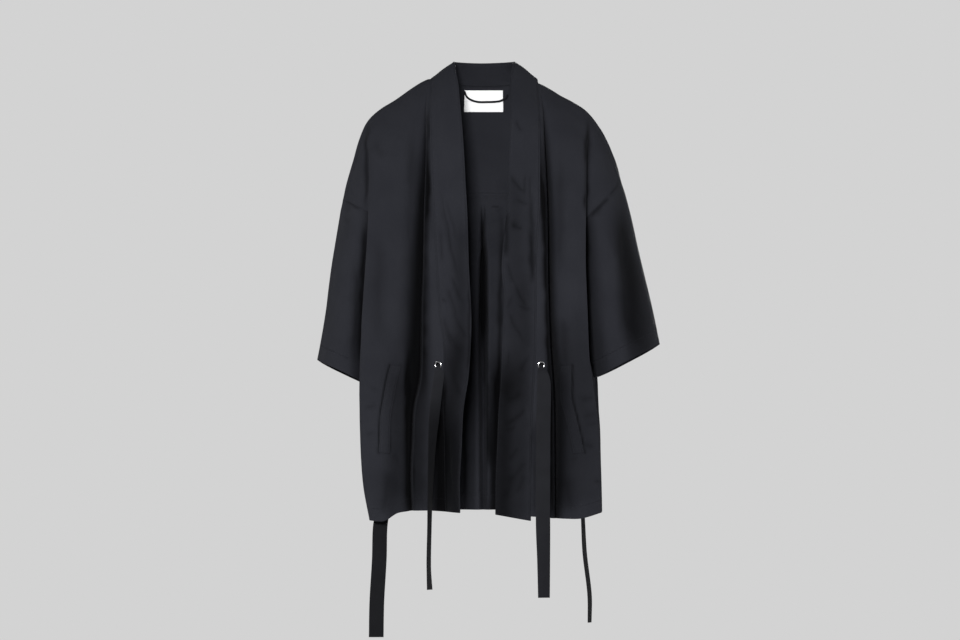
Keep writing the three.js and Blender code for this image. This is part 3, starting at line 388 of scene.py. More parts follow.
@dataclass(frozen=True)
class Creases:
    """Soft troughs and ridges laid on a surface, each a curved line in x and z.

    A row holds the line's two ends x0, z0, x1 and z1, its bend, its width and its height.
    """

    rows: Rows
    fade: float = 0.3
    waver: float = 2.0
    power: float = 1.3

    def heights(self, x: Array, z: Array) -> Array:
        """How far the cloth stands out at each place.

        Args:
            x: places across.
            z: heights.

        Returns:
            Millimetres outward, less than 0 in a trough.
        """
        total = np.zeros_like(x)
        x = x + self.waver * lattice(x / 13 + 40.5, z / 19 + 60.5, 41)
        z = z + self.waver * lattice(x / 19 + 30.5, z / 13 + 70.5, 42)
        for x0, z0, x1, z1, bend, width, height in self.rows:
            along = np.array([x1 - x0, z1 - z0])
            length = np.linalg.norm(along)
            way = along / length
            t = ((x - x0) * way[0] + (z - z0) * way[1]) / length
            inside = np.clip(t, 0.0, 1.0)
            offset = (x - x0) * way[1] - (z - z0) * way[0] - bend * 4 * inside * (1 - inside)
            beyond = (t - inside) * length
            distance = np.sqrt(offset**2 + beyond**2)
            ends = smooth(-0.05, self.fade, t) * (1 - smooth(1 - self.fade, 1.05, t))
            total += height * np.exp(-((distance / width) ** self.power)) * ends
        return total

    def laid(self, surface: "Surface", facing: Number) -> Array:
        """How far the cloth of a surface stands out."""
        return self.heights(surface.grid[..., 0], surface.grid[..., 2]) * facing


@dataclass(frozen=True)
class Shades(Creases):
    """Shade painted into the colour along folds, each a curved line in x and z; its height is its darkness,
    from 0 to 1.
    """

    fade: float = 0.2
    power: float = 2.0

    def over(self, surface: "Surface", facing: Number) -> Array:
        """How dark each place of a surface is painted, from 0 to 1."""
        return np.clip(self.heights(surface.grid[..., 0], surface.grid[..., 2]), 0, DARKEST) * facing


def trough_shade(laid: Array) -> Array:
    """How dark the troughs among the laid creases are painted."""
    return np.clip(-laid * TROUGH_SHADE, 0, TROUGH_LIMIT)


def combined(*parts: Array) -> Array:
    """The darkness of several painted shades over each other."""
    left = 1.0
    for part in parts:
        left = left * (1 - part)
    return 1 - left


@dataclass(frozen=True)
class Ripples:
    """Uneven low waves over a whole panel, as table rows of cell width, cell length, height and seed."""

    rows: Rows

    def heights(self, u: Array, v: Array) -> Array:
        """Millimetres outward at places u across and v down the panel."""
        return sum(
            h * lattice(u / wide + 9.5, v / long + 4.5, int(seed)) for wide, long, h, seed in self.rows
        )

    def over(self, surface: "Surface") -> Array:
        """Millimetres outward at each point of a surface."""
        return self.heights(surface.arcs(1), surface.arcs(0))


# ------------------------------------------------------------------ tables
FRONT_COLUMNS = "z seamX seamOut lipX lipOut valleyX valleyOut innerX innerOut crestX crestOut foldX foldOut"
BACK_COLUMNS = "z midX midOut troughX troughOut crestX crestOut foldX foldOut"
SLEEVE_COLUMNS = "t outX outZ inX inZ frontY backY"
BAND_COLUMNS = "z freeX midOut setBack"


@dataclass(frozen=True)
class SideTables:
    """The sizes of one side, across from the middle and up from the held point."""

    side: Side
    shoulder: Rows
    fold_corner: float
    front: Rows
    front_hem: Sequence[float]
    back: Rows
    yoke_seam: Rows
    side_seam: Rows
    sleeve: Rows
    band: Rows
    band_hem: tuple[float, float]
    eyelet: tuple[float, float]
    welt: Rows


LEFT = SideTables(
    side=Side.LEFT,
    shoulder=[
        [86.9, 2.3], [110, -12], [145, -34], [176, -54], [188.7, -67], [197, -85], [205.4, -109.5],
        [215.8, -143], [222, -174], [228.4, -195.6],
    ],
    fold_corner=188,
    front=[
        [0, 87, 0, 89.5, 0, 93, 0, 102, 0, 150, 0, 188, 0],
        [-60, 88, 3, 90, 3, 94, -13, 105, -4, 148, 0, 187, -8],
        [-140, 86, 4, 89, 4, 95, -28, 108, -7, 148, 4, 186.5, -6],
        [-225, 82, 5, 88.5, 5, 98, -40, 114, -9, 152, 4, 189, -4],
        [-300, 78, 6, 88, 6, 100, -48, 120, -9, 157, 4, 193, -3],
        [-385, 72, 7, 87, 5, 103, -54, 128, -10, 163, 4, 197.5, -3],
        [-445, 65.5, 6, 84, 4, 104, -52, 133, -9, 166, 4, 200, -3],
        [-485, 66, 5, 84, 5, 106, -44, 135, -8, 167, 4, 201.5, -3],
        [-510, 66, 1, 84, 6, 112, -33, 137, -7, 168, 5, 202.5, -3],
        [-540, 66, -22, 85, 6, 116, -30, 138, -7, 168, 5, 202, -3],
        [-575, 65, -38, 87, 6, 118, -30, 140, -6, 168, 5, 201, -4],
        [-660, 63, -42, 90, 6, 120, -30, 141, -7, 165, 5, 194.5, -5],
        [-705, 62, -42, 91, 6, 118, -27, 140, -9, 162, 4, 184, -6],
    ],
    front_hem=[-702.5, -700, -700.5, -704.5, -717, -716],
    back=[
        [-190, 30, 0, 92, 0, 150, 0, 183, -3], [-300, 34, 1, 96, -8, 150, 3, 187, -4],
        [-400, 36, 3, 99, -12, 150, 3, 190, -3], [-520, 36, 8, 103, -14, 152, 4, 196, -3],
        [-705, 36, 9, 106, -12, 150, 3, 182, -5],
    ],
    yoke_seam=[
        [0, -191.5, 94], [60, -192.5, 95.5], [110, -195, 95], [150, -199, 91], [183, -205, 84],
        [200, -211, 75],
    ],
    side_seam=[[-240, 127], [-300, 123], [-400, 131], [-490, 150], [-560, 161], [-640, 165], [-712, 160]],
    sleeve=[
        [0, 229.2, -195.6, 130, -242, -70, 79], [0.25, 238, -250, 134, -296, -76, 82],
        [0.5, 249, -314, 141, -360, -80, 85], [0.75, 257.5, -380, 152, -428, -82, 87],
        [1, 271, -456, 170, -503, -84, 88],
    ],
    band=[
        [40, 48, 3, 0], [30.5, 48, 3, 0], [-3, 42, 3, 0], [-34, 39, 3, 0], [-80, 35, 3, 0], [-122, 32, 3, 0],
        [-163, 30, 3, 0], [-226, 26.6, 3, 0], [-300, 24.5, 3, 0], [-341, 22.3, 3, 0], [-403, 20.2, 4, 0],
        [-445, 22.3, 4, 0], [-487, 25.4, 4, 0], [-513, 30, 5, 0], [-548, 34.2, 5, 0], [-590, 36.2, 4, 0],
        [-632, 40, 4, 0], [-710, 39, 4, 0],
    ],
    band_hem=(-702.5, -704),
    eyelet=(74.5, -464),
    welt=[[152, -464.5], [157.5, -486], [163, -517], [168, -549], [170, -606]],
)

RIGHT = SideTables(
    side=Side.RIGHT,
    shoulder=[
        [88.3, -5.9], [110, -17.5], [125.8, -26.6], [148.7, -40.1], [166.8, -51.5], [181, -70],
        [201.8, -104.9], [212, -134], [222, -164.8],
    ],
    fold_corner=167,
    front=[
        [0, 88, 0, 90, 0, 93, 0, 100, 0, 135, 0, 167, 0],
        [-60, 90, 3, 92, 4, 96, -14, 104, -4, 134, 0, 166, -8],
        [-115, 91, 4, 93.5, 5, 99, -28, 108, -6, 135, 2, 166.5, -6],
        [-196, 91, 5, 96.5, 6, 102.5, -40, 112, -7, 137, 2, 167, -4],
        [-290, 86, 6, 97.5, 6, 104.5, -46, 115, -7, 139, 3, 166.5, -3],
        [-383, 85, 6, 99.5, 6, 107, -48, 119, -7, 142, 3, 169.5, -3],
        [-445, 84, 6, 101, 6, 110, -48, 122, -7, 145, 3, 171.5, -3],
        [-520, 80, 5, 103, 4, 115, -46, 129, -8, 152, 4, 181, -3],
        [-600, 77, 4, 103, 3, 116, -42, 132, -8, 157, 4, 188, -3],
        [-705, 76, 4, 103, 2, 116, -36, 132, -8, 158, 3, 190, -4],
    ],
    front_hem=[-709.7, -711.5, -713, -713.5, -713, -703.5],
    back=[
        [-190, 30, 0, 88, 0, 132, 0, 163, -3], [-300, 32, 1, 92, -10, 136, 3, 170, -4],
        [-400, 34, 2, 95, -13, 140, 3, 177, -3], [-500, 32, 8, 97, -13, 146, 4, 187, -3],
        [-610, 32, 11, 98, -12, 150, 4, 190, -3], [-705, 32, 11, 98, -10, 152, 3, 191, -5],
    ],
    yoke_seam=[
        [0, -191.5, 94], [60, -192.5, 95.5], [110, -193.5, 95], [150, -193, 90], [176, -192, 84],
        [200, -191, 75],
    ],
    side_seam=[[-240, 143], [-290, 140], [-350, 142], [-420, 149], [-490, 159], [-560, 165], [-712, 168]],
    sleeve=[
        [0, 222.6, -164.8, 147, -245, -70, 79], [0.25, 236, -214, 149, -292, -76, 82],
        [0.5, 253, -288, 155, -350, -80, 85], [0.75, 272, -364, 166, -420, -82, 87],
        [1, 286, -430, 180, -485, -84, 88],
    ],
    band=[
        [40, 47, 3, 0], [30.5, 46.8, 3, 0], [-17, 41.6, 3, 0], [-50, 42.4, 3, 0], [-112, 40.6, 3, 0],
        [-155, 38.5, 3, 0], [-196, 37.5, 3, 0], [-248, 33.6, 3, 0], [-285, 29.3, 3, 0], [-311, 28.5, 3, 0],
        [-345, 32.6, 3, 0], [-404, 30.5, 4, 2], [-466, 28.5, 5, 5], [-518, 25.3, 7, 12], [-569, 22.2, 9, 18],
        [-632, 20.2, 9, 22], [-694, 17.9, 9, 24], [-710, 19.1, 9, 24],
    ],
    band_hem=(-717, -707),
    eyelet=(92.9, -464),
    welt=[[142, -464.5], [142.5, -513], [150, -549], [157, -580], [162, -606]],
)

FRONT_PROFILE = single([
    [-40, 0], [0, -3], [7, -15], [20, -33], [40, -51], [70, -68], [110, -82], [160, -93], [240, -103],
    [350, -109], [500, -113], [740, -115],
])
BACK_PROFILE = single([[-190, 94], [-250, 101], [-350, 107], [-500, 110], [-720, 112]])
BAND_PROFILE = single([
    [32, -4], [27, -12], [15, -28], [-2, -46], [-35, -69], [-70, -84], [-105, -94], [-160, -103],
    [-225, -108], [-300, -112], [-400, -116], [-520, -119], [-720, -121],
])
BAND_LIFT = single([
    [0, 31], [0.03, 33], [0.06, 33], [0.1, 29], [0.15, 22], [0.2, 15], [0.27, 6], [0.35, 0], [1, 0],
])
PLEAT = tracks("z edgeX edgeOut floorX floorOut ridgeOut", [
    [-190, 4, 0, 2, 0, 0], [-214, 5, -2, 2.5, 10, 14], [-261, 6.5, -4, 3, 20, 27],
    [-326, 8.5, -5, 3.5, 23, 30], [-372, 9, -6, 4, 22, 28], [-445, 9, -8, 3.5, 8, 12],
    [-522, 9, -9, 3, 4, 8], [-620, 9, -10, 3, 5, 9], [-705, 9, -9, 3, 5, 9],
])
NECK = [
    [86.5, 4, 0.5, 48, 4, 29, 90], [78, 33, -4, 45.5, 23, 29.2, 75], [48, 60, -9, 29, 39, 28.4, 45],
    [0, 72, -11, 0, 46, 27.6, 0],
]
FRONT_ROWS = [
    0, 0.025, 0.055, 0.09, 0.13, 0.17, 0.21, 0.245, 0.27, 0.31, 0.37, 0.43, 0.49, 0.555, 0.62, 0.69, 0.76,
    0.84, 0.92, 1,
]
FRONT_SAMPLES = [
    0, 0.5, 1, 1.5, 2, 2.5, 3, 3.5, 4, 4.5, 5, 5.5, 6, 6.33, 6.67, 7, 7.3, 7.6, 7.85, 8, 8.3, 8.65, 9, 9.5,
    10, 10.5, 11, 11.5, 12,
]
BACK_ROWS = [0, 0.022, 0.055, 0.095, 0.145, 0.2, 0.26, 0.34, 0.42, 0.5, 0.58, 0.66, 0.74, 0.82, 0.91, 1]
HALF_SAMPLES = [0, 0.5, 1, 1.5, 2, 2.5, 3, 3.33, 3.67, 4, 4.3, 4.65, 5, 5.5, 6, 6.5, 7, 7.5]
YOKE_ROWS = [0, 0.07, RIDGE_T, 0.26, 0.42, 0.6, 0.8, 1]


@dataclass(frozen=True)
class Dent:
    """The hollow down the front of a sleeve."""

    outside: float
    width: float
    depth: dict[Side, float]
    start: float
    full: float


DENT = Dent(-7.0, 15.0, {Side.LEFT: 20.0, Side.RIGHT: 12.0}, 40.0, 70.0)


@dataclass(frozen=True)
class Return:
    """One line of the cloth's way back from an outer fold to the side seam."""

    k: float
    tuck: float
    back: float
    beside: Optional[float]
    deep: Optional[tuple[float, float]]
    clear: float
    open_in: float
    open_deep: float


RETURNS = (
    Return(0.16, 7, 9, None, None, 10, 0.06, 0.88),
    Return(0.48, 0, 3, 26, (92, 101), 10, 0.28, 0.68),
    Return(0.8, 0, 2, 2, (50, 62), 5, 0.65, 0.36),
)


# ------------------------------------------------------------------ shapes of one side
class SideShape:
    """The curves that both the front and the back of one side are worked out from."""

    def __init__(self, tables: SideTables) -> None:
        """Works out the shoulder ridge and the armhole.

        Args:
            tables: the sizes of the side.
        """
        self.tables = tables
        self.side = tables.side
        self.name = tables.side.name.lower()
        self.sign = float(tables.side.value)
        self.ridge_z = single(tables.shoulder)
        self.ridge_points = np.array([[self.sign * x, 0, z] for x, z in tables.shoulder])
        places = np.linspace(0, 1, 501)
        self._ridge_x = np.abs(self.ridge_all(places)[:, 0])
        self._ridge_s = places
        self.sleeve = tracks(SLEEVE_COLUMNS, tables.sleeve)
        self.front = tracks(FRONT_COLUMNS, tables.front)
        self.back = tracks(BACK_COLUMNS, tables.back)
        self.side_x = single(tables.side_seam)
        self.yoke_line = tracks("x z y", tables.yoke_seam)
        self.fold_s = self.ridge_at(tables.fold_corner)
        self.seam_angle = math.degrees(math.asin((SIDE_Y - SEAM_Y) / (SIDE_Y - tables.sleeve[0][5])))
        self.underarm = self.armhole(180)

    def ridge_all(self, s: Number) -> Array:
        """Points of the shoulder ridge, s from 0 at the neck to 1."""
        return strand(self.ridge_points, np.asarray(s) * (len(self.ridge_points) - 1))

    def ridge(self, s: float) -> Array:
        """One point of the shoulder ridge."""
        return self.ridge_all(s)[0]

    def ridge_at(self, x: float) -> float:
        """How far along the ridge it is at x from the middle."""
        return float(np.interp(x, self._ridge_x, self._ridge_s))

    def seam_line(self, s: float) -> Array:
        """A point of the front shoulder seam."""
        ahead = unit(self.ridge(min(s + 0.01, 1)) - self.ridge(max(s - 0.01, 0)))
        inward = vec(self.sign * ahead[2], 0, -abs(ahead[0]))
        point = self.ridge(s) + unit(inward) * SEAM_DROP
        point[1] = SEAM_Y
        return point

    def ring(self, t: float, angle: float, grow: float = 0.0) -> Array:
        """A point of the sleeve.

        Args:
            t: 0 at the armhole, 1 at the cuff.
            angle: degrees round it, 0 outside, 90 in front, 180 inside.
            grow: millimetres outside it.

        Returns:
            The point.
        """
        a = math.radians(angle)
        row = {name: track(t) for name, track in self.sleeve.items()}
        outer = vec(self.sign * row["outX"], 0, row["outZ"])
        inner = vec(self.sign * row["inX"], 0, row["inZ"])
        way = outer - inner
        half = np.linalg.norm(way) / 2 + grow
        way /= np.linalg.norm(way)
        depth = (SIDE_Y - row["frontY"] if math.sin(a) > 0 else row["backY"] - SIDE_Y) + grow
        point = (outer + inner) / 2 + way * half * math.cos(a)
        point[1] = SIDE_Y - depth * math.sin(a)
        return point

    def armhole(self, angle: float) -> Array:
        """A point of the body's edge at the armhole."""
        return self.ring(0, angle, ARMHOLE_GROW * float(smooth(60, 130, abs(angle))))

    def yoke_bottom(self, x: float) -> Array:
        """A point of the yoke's seam at x from the middle."""
        return vec(self.sign * x, float(self.yoke_line["y"](x)), float(self.yoke_line["z"](x)))

    def returns(
        self, fold: Array, at_top: Callable[[float], Array], v: float, under_v: float, angle: float, face: int
    ) -> list[Array]:
        """The last points of a row: the way back from the outer fold, and the armhole or side seam.

        Args:
            fold: the point on the outer fold.
            at_top: the point on the panel's top edge, 0 at the fold and 1 at its end.
            v: how far down the panel the row is.
            under_v: how far down the underarm is.
            angle: the place on the armhole.
            face: -1 for the front, 1 for the back.

        Returns:
            Four points.
        """
        start, stop = (0.5, 0.95) if face < 0 else (0.02, 0.5)
        low = float(smooth(under_v * start, under_v * stop, v))
        tucked = float(smooth(0, under_v * 0.5, v))
        edge = self.armhole(angle)
        if v > under_v:
            z = mix(self.underarm[2], SIDE_HEM, (v - under_v) / (1 - under_v))
            near = float(smooth(self.underarm[2] - 30, self.underarm[2], z))
            edge = vec(mix(self.sign * float(self.side_x(z)), self.underarm[0], near), SIDE_Y, z)
        points = []
        for row in RETURNS:
            chord = mix(at_top(0), at_top(1), row.k)
            bulge = (at_top(row.k) - chord) * (1 - float(smooth(0, under_v, v)))
            high = mix(fold, edge, row.k) + bulge
            high[0] -= self.sign * row.tuck * tucked
            high[1] -= face * row.back * tucked
            z = mix(fold[2], edge[2], row.k)
            fold_x, side_x = abs(fold[0]), abs(edge[0])
            opened = 1 - float(smooth(-570, -500, z))
            beside = fold_x - 7 if row.beside is None else side_x + row.beside
            x = mix(min(beside, fold_x - 5), mix(fold_x, side_x, row.open_in), opened)
            behind = abs(fold[1]) - (10 if face < 0 else 4)
            deep = behind if row.deep is None else row.deep[0 if face < 0 else 1]
            nested = min(max(deep, face * edge[1] + row.clear), behind)
            high[1] = face * max(face * high[1], nested * tucked * 0.5 + face * high[1] * (1 - tucked * 0.5))
            below = vec(self.sign * x, face * mix(nested, row.open_deep * abs(fold[1]), opened), z)
            points.append(mix(high, below, low))
        return points + [edge]


# ------------------------------------------------------------------ grids of the panels
class Pattern:
    """The grids of all the panels, as they are in the part."""

    def __init__(self) -> None:
        """Works out every grid once."""
        self.left = SideShape(LEFT)
        self.right = SideShape(RIGHT)
        self.yoke = self.yoke_grid()
        self.fronts = {shape.side: self.front_grid(shape) for shape in self.sides}
        self.back = self.back_grid()
        self.band = self.band_grid()

    @property
    def sides(self) -> tuple[SideShape, SideShape]:
        """Both sides."""
        return self.left, self.right

    def front_row(self, shape: SideShape, v: float) -> Array:
        """Band seam, lip, valley, two crests, the outer fold and its return, at v down the panel."""
        row = []
        for i, name in enumerate(("seam", "lip", "valley", "inner", "crest", "fold")):
            lines_x, lines_out = shape.front[name + "X"], shape.front[name + "Out"]
            top_x = float(lines_x(-10))
            top = shape.seam_line(shape.fold_s if name == "fold" else shape.ridge_at(top_x))
            z = mix(top[2], shape.tables.front_hem[i], v)
            x = mix(abs(top[0]), float(lines_x(z)), float(smooth(0, 0.05, v)))
            out = float(lines_out(z)) * float(smooth(0, 0.06, v))
            y = top[1] if v == 0 else float(FRONT_PROFILE(shape.ridge_z(x) - z)) - out
            row.append(vec(shape.sign * x, y, z))

        def at_top(k: float) -> Array:
            """The shoulder seam outside the fold."""
            return shape.armhole(shape.seam_angle) if k == 1 else shape.seam_line(mix(shape.fold_s, 1, k))

        angle = mix(shape.seam_angle, 180, min(v / UNDERARM_V, 1))
        behind = shape.returns(row[5], at_top, v, UNDERARM_V, angle, -1)
        tuck, turn, wall = (self.between(row, *share) for share in (FOLD_TUCK, FOLD_TURN, FOLD_WALL))
        return np.array([row[0], tuck, row[1], turn, row[2], wall, *row[3:], *behind])

    @staticmethod
    def between(row: Sequence[Array], first: int, across: float, deep: float) -> Array:
        """A point between one point of a row and the next, across and down the fold."""
        a, b = row[first], row[first + 1]
        return vec(mix(a[0], b[0], across), mix(a[1], b[1], deep), mix(a[2], b[2], across))

    def front_grid(self, shape: SideShape) -> Array:
        """The front panel, whose top row lies on the yoke's seam."""
        top = self.yoke_top(shape)
        grid = []
        for v in FRONT_ROWS:
            row = strand(self.front_row(shape, v), FRONT_SAMPLES)
            grid.append(np.array([top(p[0]) for p in row]) if v == 0 else row)
        return np.array(grid)

    def yoke_top(self, shape: SideShape) -> Callable[[float], Array]:
        """The yoke's front shoulder seam on one side, by x."""
        places = np.linspace(0, NECK_START, 161)
        row = strand(self.yoke[0], places if shape.sign < 0 else len(self.yoke[0]) - 1 - places)
        return chain(row[np.argsort(row[:, 0])])

    def back_half(self, shape: SideShape, v: float, on_seam: Callable[[float], Array]) -> list[Array]:
        """Half a row of the back, from the middle out."""
        row = []
        for name in ("mid", "trough", "crest", "fold"):
            lines_x, lines_out = shape.back[name + "X"], shape.back[name + "Out"]
            top = on_seam(shape.sign * float(lines_x(-190)))
            z = mix(top[2], -705 if name == "fold" else -702, v)
            x = mix(abs(top[0]), float(lines_x(z)), float(smooth(0, 0.05, v)))
            y = float(BACK_PROFILE(z) + lines_out(z))
            row.append(vec(shape.sign * x, mix(top[1], y, float(smooth(0, 0.12, v))), z))
        end = shape.armhole(YOKE_RING_END)
        fold_x = shape.sign * float(shape.back["foldX"](-190))

        def at_top(k: float) -> Array:
            """The yoke seam outside the fold."""
            return end.copy() if k == 1 else on_seam(mix(fold_x, end[0], k))

        angle = mix(YOKE_RING_END, -180, min(v / BACK_UNDERARM, 1))
        return row + shape.returns(row[3], at_top, v, BACK_UNDERARM, angle, 1)

    def pleat(self, v: float, on_seam: Callable[[float], Array]) -> list[Array]:
        """The five lines of the centre back pleat."""
        z = mix(on_seam(PLEAT_CENTRE)[2], -702, v)
        blend = float(smooth(0, 0.12, v))
        edge, floor = float(PLEAT["edgeX"](z)), float(PLEAT["floorX"](z))
        out = {name: float(PLEAT[name](z)) for name in ("edgeOut", "floorOut", "ridgeOut")}
        lines = [
            (-edge, out["edgeOut"]), (-floor, out["floorOut"]), (0, out["ridgeOut"]),
            (floor, out["floorOut"]),
            (edge, out["edgeOut"]),
        ]
        points = []
        for x, stand in lines:
            top = on_seam(PLEAT_CENTRE + x)
            y = mix(top[1], float(BACK_PROFILE(z)) + stand, blend)
            points.append(vec(PLEAT_CENTRE + x, y, top[2] if v == 0 else z))
        return points

    def back_grid(self) -> Array:
        """The back panel, whose top row lies on the yoke's seam."""
        on_seam = chain(strand(self.yoke[-1], np.linspace(0, len(self.yoke[-1]) - 1, 321)))
        samples = HALF_SAMPLES + [8, 9, 10, 11, 12] + [20 - u for u in reversed(HALF_SAMPLES)]
        grid = []
        for v in BACK_ROWS:
            left = self.back_half(self.left, v, on_seam)[::-1]
            across_back = left + self.pleat(v, on_seam) + self.back_half(self.right, v, on_seam)
            row = strand(np.array(across_back), samples)
            grid.append(np.array([on_seam(p[0]) for p in row]) if v == 0 else row)
        return np.array(grid)

    def shoulder_column(self, shape: SideShape, s: float, t: float) -> Array:
        """A point of the yoke where it laps over the shoulder."""
        ridge = shape.ridge(s)
        if s == 0:
            ridge = ridge + vec(shape.sign * 5, 0, -2)
        if t <= RIDGE_T:
            rise = vec(0, 14, 3 if s > 0.6 else 9)
            return hermite(shape.seam_line(s), rise, ridge, vec(0, 16, 0), t / RIDGE_T)
        arm_x = abs(shape.armhole(YOKE_RING_END)[0])
        bottom_x = 103 if s == 0 else mix(abs(ridge[0]), arm_x, float(smooth(shape.fold_s * 0.4, 1, s)) * 0.9)
        bottom = shape.yoke_bottom(bottom_x)
        drop = ridge[2] - bottom[2]
        return hermite(ridge, vec(0, 130, 0), bottom, vec(0, 10, -drop * 1.15), (t - RIDGE_T) / (1 - RIDGE_T))

    def neck_column(self, shape: SideShape, row: Sequence[float], t: float) -> Array:
        """A point of the yoke behind the neck."""
        seam_x, seam_y, seam_z, yoke_x = row[0], row[1], row[2], row[6]
        flat = 1 - float(smooth(0, 72, seam_y))
        tangent = vec(shape.sign * 12 * flat, mix(26, 150, flat), mix(-150, -40, flat))
        on_seam = vec(shape.sign * seam_x, seam_y, seam_z)
        return hermite(on_seam, tangent, shape.yoke_bottom(yoke_x), vec(0, 12, -180), t)

    @staticmethod
    def yoke_angle(shape: SideShape, t: float) -> float:
        """The place on the armhole of a row of the yoke."""
        if t <= RIDGE_T:
            return mix(shape.seam_angle, 0, t / RIDGE_T)
        return mix(0, YOKE_RING_END, (t - RIDGE_T) / (1 - RIDGE_T))

    def yoke_grid(self) -> Array:
        """The yoke, from the front shoulder seams over the shoulders to its seam with the back."""
        grid = []
        for t in YOKE_ROWS:
            halves = []
            for shape in self.sides:
                columns = [shape.armhole(self.yoke_angle(shape, t))]
                stations = (mix(shape.fold_s, 1, 0.55), shape.fold_s, shape.fold_s * 0.5, 0)
                columns += [self.shoulder_column(shape, s, t) for s in stations]
                halves.append(columns + [self.neck_column(shape, row, t) for row in NECK[:3]])
            middle = self.neck_column(self.right, NECK[3], t)
            points = np.array(halves[0] + [middle] + halves[1][::-1])
            grid.append(strand(points, np.arange(0, len(points) - 0.75, 0.5)))
        return np.array(grid)

    def sleeve_grid(self, shape: SideShape) -> Array:
        """The sleeve, whose first row lies on the armhole's edge."""
        rows = [0, 0.012, 0.03, 0.06, 0.18, 0.32, 0.46, 0.6, 0.74, 0.88, 1]
        grid = []
        for t in rows:
            row = []
            for angle in np.arange(-180, 180, SLEEVE_STEP):
                joined = ARMHOLE_GROW * float(smooth(60, 130, abs(angle))) * (1 - float(smooth(0, 0.03, t)))
                point = shape.ring(t, angle, joined)
                point[2] -= CUFF_DROP * max(0.0, -math.sin(math.radians(angle))) * float(smooth(0.7, 1, t))
                point[1] += self.dent(shape, point, angle, t)
                row.append(point)
            grid.append(row)
        return np.array(grid)

    @staticmethod
    def beside_fold(shape: SideShape, x: Number, z: Number) -> Number:
        """1 behind the body's outer fold, falling to 0 on the sleeve away from it."""
        beside = (np.abs(x) - shape.front["foldX"](z) - DENT.outside) / DENT.width
        return np.exp(-beside * beside)

    def dent(self, shape: SideShape, point: Array, angle: float, t: float) -> float:
        """How deep the hollow down the sleeve is, behind the body's outer fold."""
        fore = float(smooth(DENT.start, DENT.full, angle) * smooth(0.02, 0.2, t))
        return fore * DENT.depth[shape.side] * float(self.beside_fold(shape, point[0], point[2]))

    def band_front(self, shape: SideShape) -> list[Array]:
        """Seam, middle and free points across the band beside each row of the front."""
        free = tracks(BAND_COLUMNS, shape.tables.band)
        grid = self.fronts[shape.side]
        stations = []
        for r, v in enumerate(FRONT_ROWS):
            seam = grid[r][0].copy()
            last = r == len(FRONT_ROWS) - 1
            z = shape.tables.band_hem[1] if last else seam[2] + float(BAND_LIFT(v))
            edge = vec(shape.sign * float(free["freeX"](z)), float(BAND_PROFILE(z) + free["setBack"](z)), z)
            if last:
                seam[2] = shape.tables.band_hem[0]
            middle = (seam + edge) / 2
            middle[1] -= float(free["midOut"](z))
            stations.append(np.array([seam, middle, edge]))
        return stations

    def band_neck(self, sign: float, seams: Array) -> list[Array]:
        """Seam, middle and free points across the band from one side of the neck to its middle."""
        stations = []
        for row, seam in zip(NECK, seams):
            edge = vec(sign * row[3], row[4], row[5])
            middle = (seam + edge) / 2 + vec(0, 0, 1.5)
            stations.append(np.array([seam, middle, edge]))
        return stations

    def band_grid(self) -> Array:
        """The neckband from the left hem round the neck to the right hem."""
        top = self.yoke[0]
        places = [NECK_START + 2 * (i + 1) for i in range(len(NECK))]
        left = self.band_neck(-1, [top[c] for c in places])
        right = self.band_neck(1, [top[len(top) - 1 - c] for c in places])
        stations = self.band_front(self.left)[::-1] + left + right[:3][::-1] + self.band_front(self.right)
        return np.array(stations)


# ------------------------------------------------------------------ meshes
@dataclass(frozen=True)
class Hem:
    """A folded and stitched edge of a panel."""

    edge: Edge
    deep: float = 22.0
    extra: float = 0.9
    rows: tuple[float, ...] = (20.0,)
    inside: bool = True


@dataclass
class Stitches:
    """The lines of thread gathered while the panels are made."""

    pitch: float = 3.0
    centres: list[Array] = field(default_factory=list)
    ways: list[Array] = field(default_factory=list)
    outs: list[Array] = field(default_factory=list)

    def run(self, points: Array, normals: Array) -> None:
        """Adds one line of stitches.

        Args:
            points: the line on the cloth's face.
            normals: unit normals of the face along it.
        """
        steps = np.linalg.norm(np.diff(points, axis=0), axis=1)
        arc = np.concatenate([[0.0], np.cumsum(steps)])
        count = int(arc[-1] / self.pitch)
        if count < 2:
            return
        at = (np.arange(count) + 0.5) * self.pitch
        place, ahead, out = (
            np.stack([np.interp(where, arc, line[:, k]) for k in range(3)], axis=1)
            for where, line in ((at, points), (at + 1.0, points), (at, normals))
        )
        way = ahead - place
        keep = np.linalg.norm(way, axis=1) > 0.2
        self.centres.append(place[keep])
        self.ways.append(unit(way[keep]))
        self.outs.append(unit(out[keep]))


